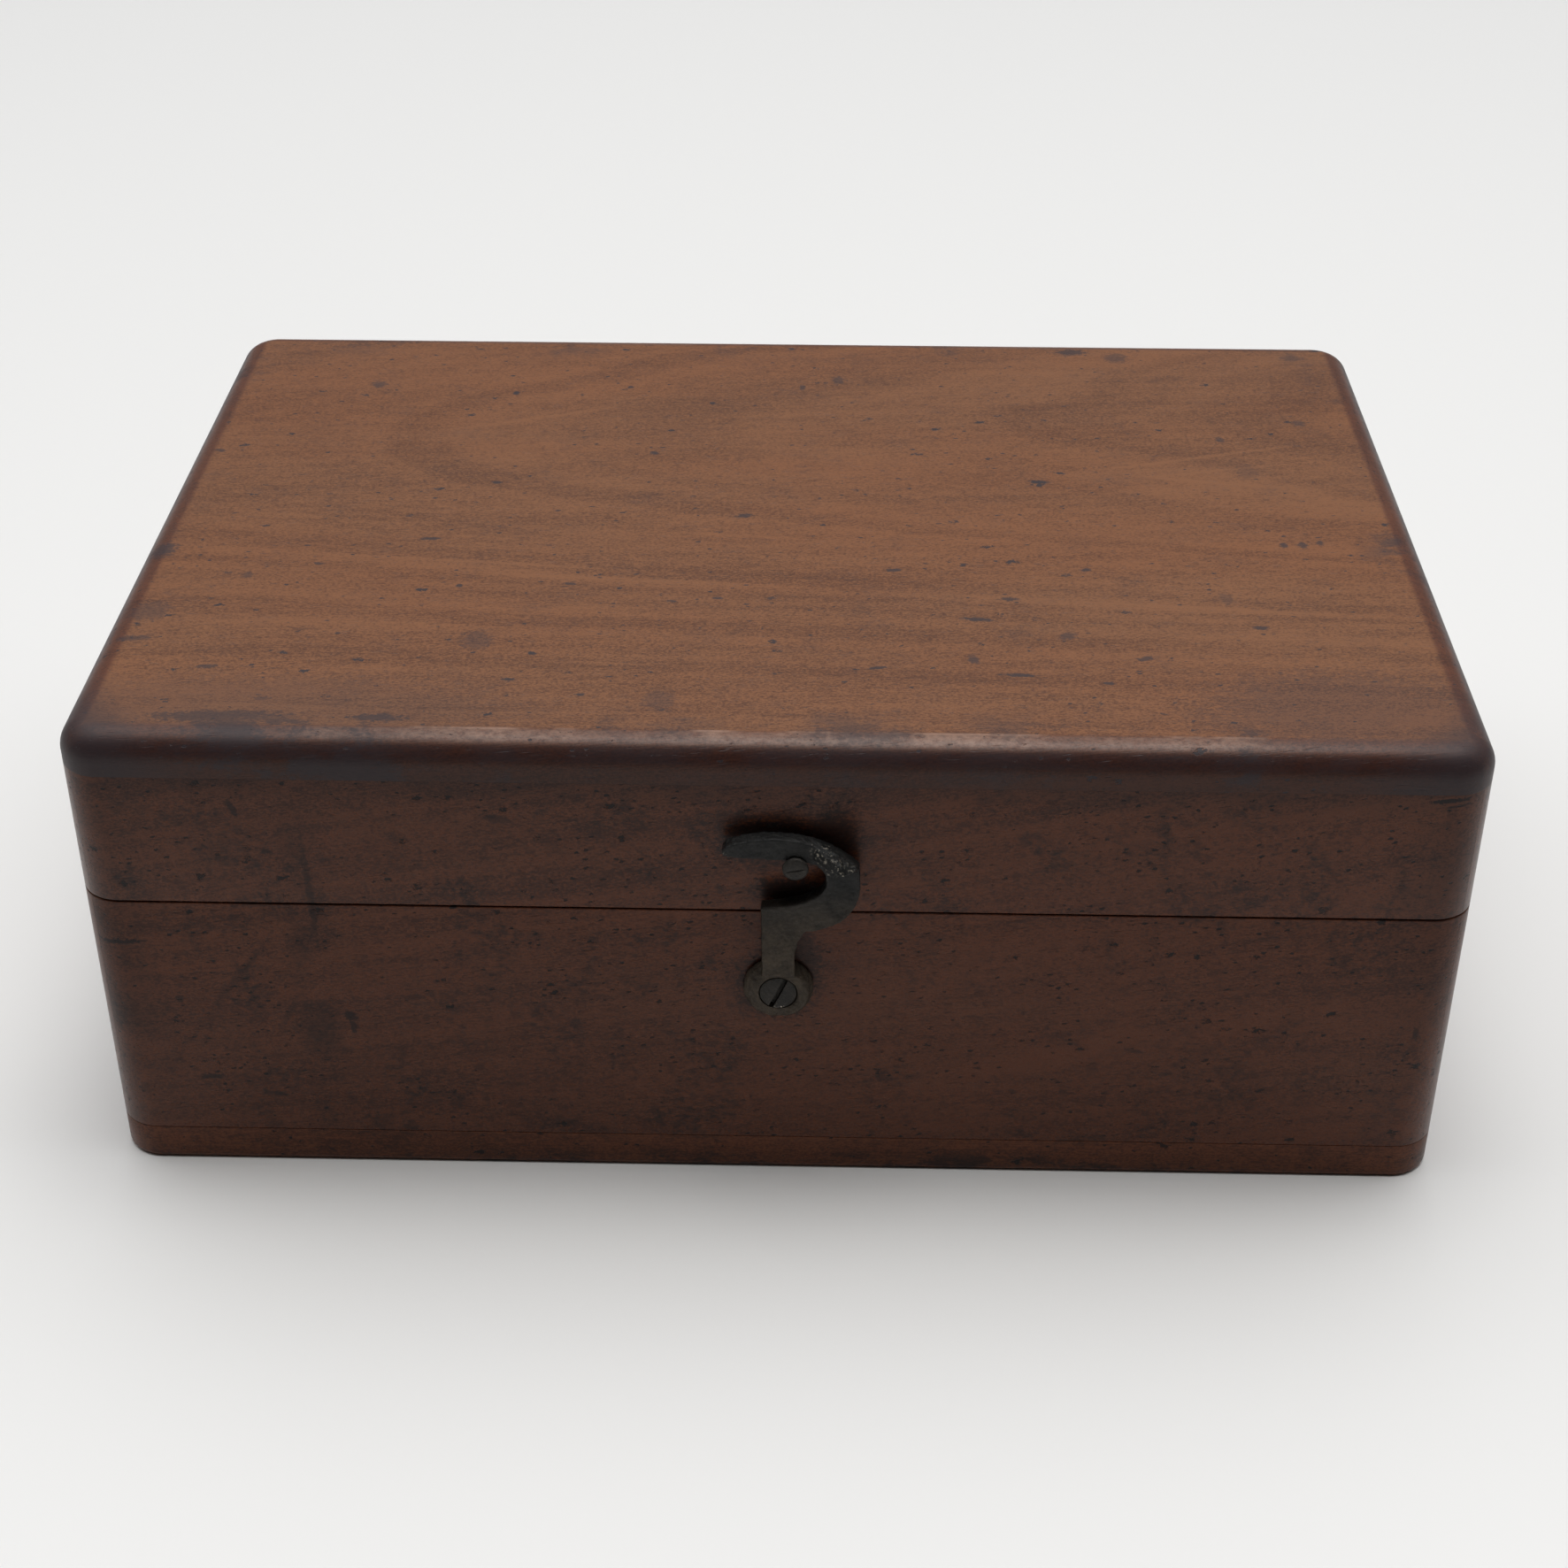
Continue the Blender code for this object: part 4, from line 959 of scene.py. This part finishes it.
def eased_board(low, high, easing, steps=4, chamfer=None):
    """A board with every edge rounded a little, and a wider rounding round its top if asked for."""
    bm = bmesh.new()
    bmesh.ops.create_cube(bm, size=1)
    bmesh.ops.scale(bm, vec=high - low, verts=bm.verts[:])
    bmesh.ops.translate(bm, vec=(low + high) / 2, verts=bm.verts[:])
    if chamfer:
        round_rim(bm, high.z, chamfer, 3)
    square = [e for e in bm.edges if e.calc_face_angle(0) > radians(60)]
    bmesh.ops.bevel(bm, geom=square, offset=easing, segments=steps, profile=0.5, affect="EDGES",
                    material=-1, clamp_overlap=True)
    return bm


low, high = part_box("centre_partition")
place_piece("partition", eased_board(low, high, 0.0010), partition_wood, "base", "mahogany_inside",
            "centre_partition")

# ------------------------------------------------------------------ tin liners
# Each compartment has a tray folded from tinplate and soldered at its corners, its rim turned
# over. The tin has dulled to a spangled grey, and is stained brown low down by the tea.
LINER_SHEET = 0.0012
LINER_CORNER = 0.0022            # solder fillet inside the corners


def dull_tin(name):
    """Tinplate: large faint crystals, fine scratches, tea stain near the floor."""
    mat = bpy.data.materials.new(name)
    mat.use_nodes = True
    shader = mat.node_tree.nodes["Principled BSDF"]
    place = step(mat, "TexCoord").outputs["Object"]
    crystals = step(mat, "TexVoronoi", Vector=place, Scale=160.0, Randomness=1.0).outputs["Color"]
    crystal = step(mat, "SeparateColor", Color=crystals).outputs[0]
    haze = speckle(mat, place, 60.0, 5.0, 0.65)
    grit = speckle(mat, place, 900.0, 3.0, 0.6)
    share = maths(mat, "MULTIPLY_ADD", crystal, 0.35, maths(mat, "MULTIPLY", haze, 0.65))
    colour = blended(mat, share, (0.215, 0.210, 0.195, 1), (0.470, 0.465, 0.440, 1))
    depth = step(mat, "SeparateXYZ", Vector=place).outputs["Z"]
    tea = maths(mat, "MULTIPLY", window(mat, depth, 0.030, 0.008, 0.10, 0.75), window(mat, haze, 0.35, 0.62))
    colour = blended(mat, tea, colour, (0.100, 0.058, 0.030, 1))
    specks = window(mat, grit, 0.64, 0.72, 0.0, 0.6)
    colour = blended(mat, specks, colour, (0.060, 0.040, 0.028, 1))
    mat.node_tree.links.new(colour, shader.inputs["Base Color"])
    mat.node_tree.links.new(window(mat, tea, 0.0, 0.8, 0.85, 0.15), shader.inputs["Metallic"])
    mat.node_tree.links.new(maths(mat, "MULTIPLY_ADD", haze, 0.25, 0.30), shader.inputs["Roughness"])
    bump = step(mat, "Bump", Height=maths(mat, "MULTIPLY_ADD", haze, 1.0, maths(mat, "MULTIPLY", grit, 0.12)),
                Strength=0.5, Distance=0.0004)
    mat.node_tree.links.new(bump.outputs[0], shader.inputs["Normal"])
    return mat


tin = dull_tin("dulled_tinplate")


def folded_tray(low, high):
    """An open tray: a block whose top is inset and sunk, its corners soldered and its rim turned over."""
    bm = bmesh.new()
    bmesh.ops.create_cube(bm, size=1)
    bmesh.ops.scale(bm, vec=high - low, verts=bm.verts[:])
    bmesh.ops.translate(bm, vec=(low + high) / 2, verts=bm.verts[:])
    top = [f for f in bm.faces if f.normal.z > 0.9]
    bmesh.ops.inset_region(bm, faces=top, thickness=LINER_SHEET, use_even_offset=True)
    sunk = bmesh.ops.extrude_face_region(bm, geom=top)["geom"]
    bmesh.ops.delete(bm, geom=top, context="FACES")
    moved = [v for v in sunk if isinstance(v, bmesh.types.BMVert)]
    bmesh.ops.translate(bm, vec=(0, 0, low.z + LINER_SHEET - high.z), verts=moved)
    middle = (low + high) / 2
    half_x = (high.x - low.x) / 2 - LINER_SHEET / 2
    half_y = (high.y - low.y) / 2 - LINER_SHEET / 2
    inner = [e for e in bm.edges
             if all(abs(v.co.x - middle.x) < half_x and abs(v.co.y - middle.y) < half_y for v in e.verts)
             and not all(v.co.z > high.z - 1e-5 for v in e.verts)]
    bmesh.ops.bevel(bm, geom=inner, offset=LINER_CORNER, segments=4, profile=0.5, affect="EDGES", material=-1)
    rim = [e for e in bm.edges if all(v.co.z > high.z - 1e-6 for v in e.verts) and e.calc_face_angle(0) > 1]
    bmesh.ops.bevel(bm, geom=rim, offset=LINER_SHEET * 0.42, segments=4, profile=0.5, affect="EDGES",
                    material=-1)
    bmesh.ops.recalc_face_normals(bm, faces=bm.faces[:])
    return bm


for side in ("left", "right"):
    low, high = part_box(side + "_tin_liner")
    place_piece(side + "_liner", folded_tray(low, high), tin, "base", "tinplate", side + "_tin_liner")

# ------------------------------------------------------------------ inner lids and knobs
# Loose mahogany lids rest on the liners' rims, each lifted by a small turned brass knob that is
# pegged through its middle. The lids have a shallow chamfer all round.
LID_CHAMFER = 0.0014
knob_finish = old_metal("handled_knob_brass", HINGE_TONES, OLD_BRASS, 0.85, 0.28, 0.0014, relief=0.00005)
for side in ("left", "right"):
    low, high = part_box(side + "_inner_lid")
    bm = eased_board(low, high, 0.0003, 2, LID_CHAMFER)
    body = side + "_inner_lid_set"
    place_piece(side + "_loose_lid", bm, inner_wood, body, "mahogany_inside", side + "_inner_lid")
    knob_low, knob_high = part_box(side + "_knob")
    foot = Vector(((knob_low.x + knob_high.x) / 2, (knob_low.y + knob_high.y) / 2, high.z))
    tall = (knob_high.z - high.z) / MM
    ball = 4.0
    profile = [(0, -4.7), (1.5, -4.7), (1.5, 0.0), (4.5, 0.0), (4.75, 0.2), (4.8, 0.55), (4.65, 0.95),
               (4.2, 1.2), (3.4, 1.35), (3.2, 1.6), (2.7, 1.95), (2.25, 2.6), (2.1, 3.3), (2.25, 3.7),
               (2.7, 3.85), (2.75, 4.05)]
    profile += [(x, tall - ball + z) for x, z in arc((0, 0), ball, -46, 90, 18)[:-1]] + [(0, tall)]
    place_piece(side + "_brass_knob", turned(profile, foot, (0, 0, 1), 64), knob_finish, body, "old_brass",
                side + "_knob", smooth=40)
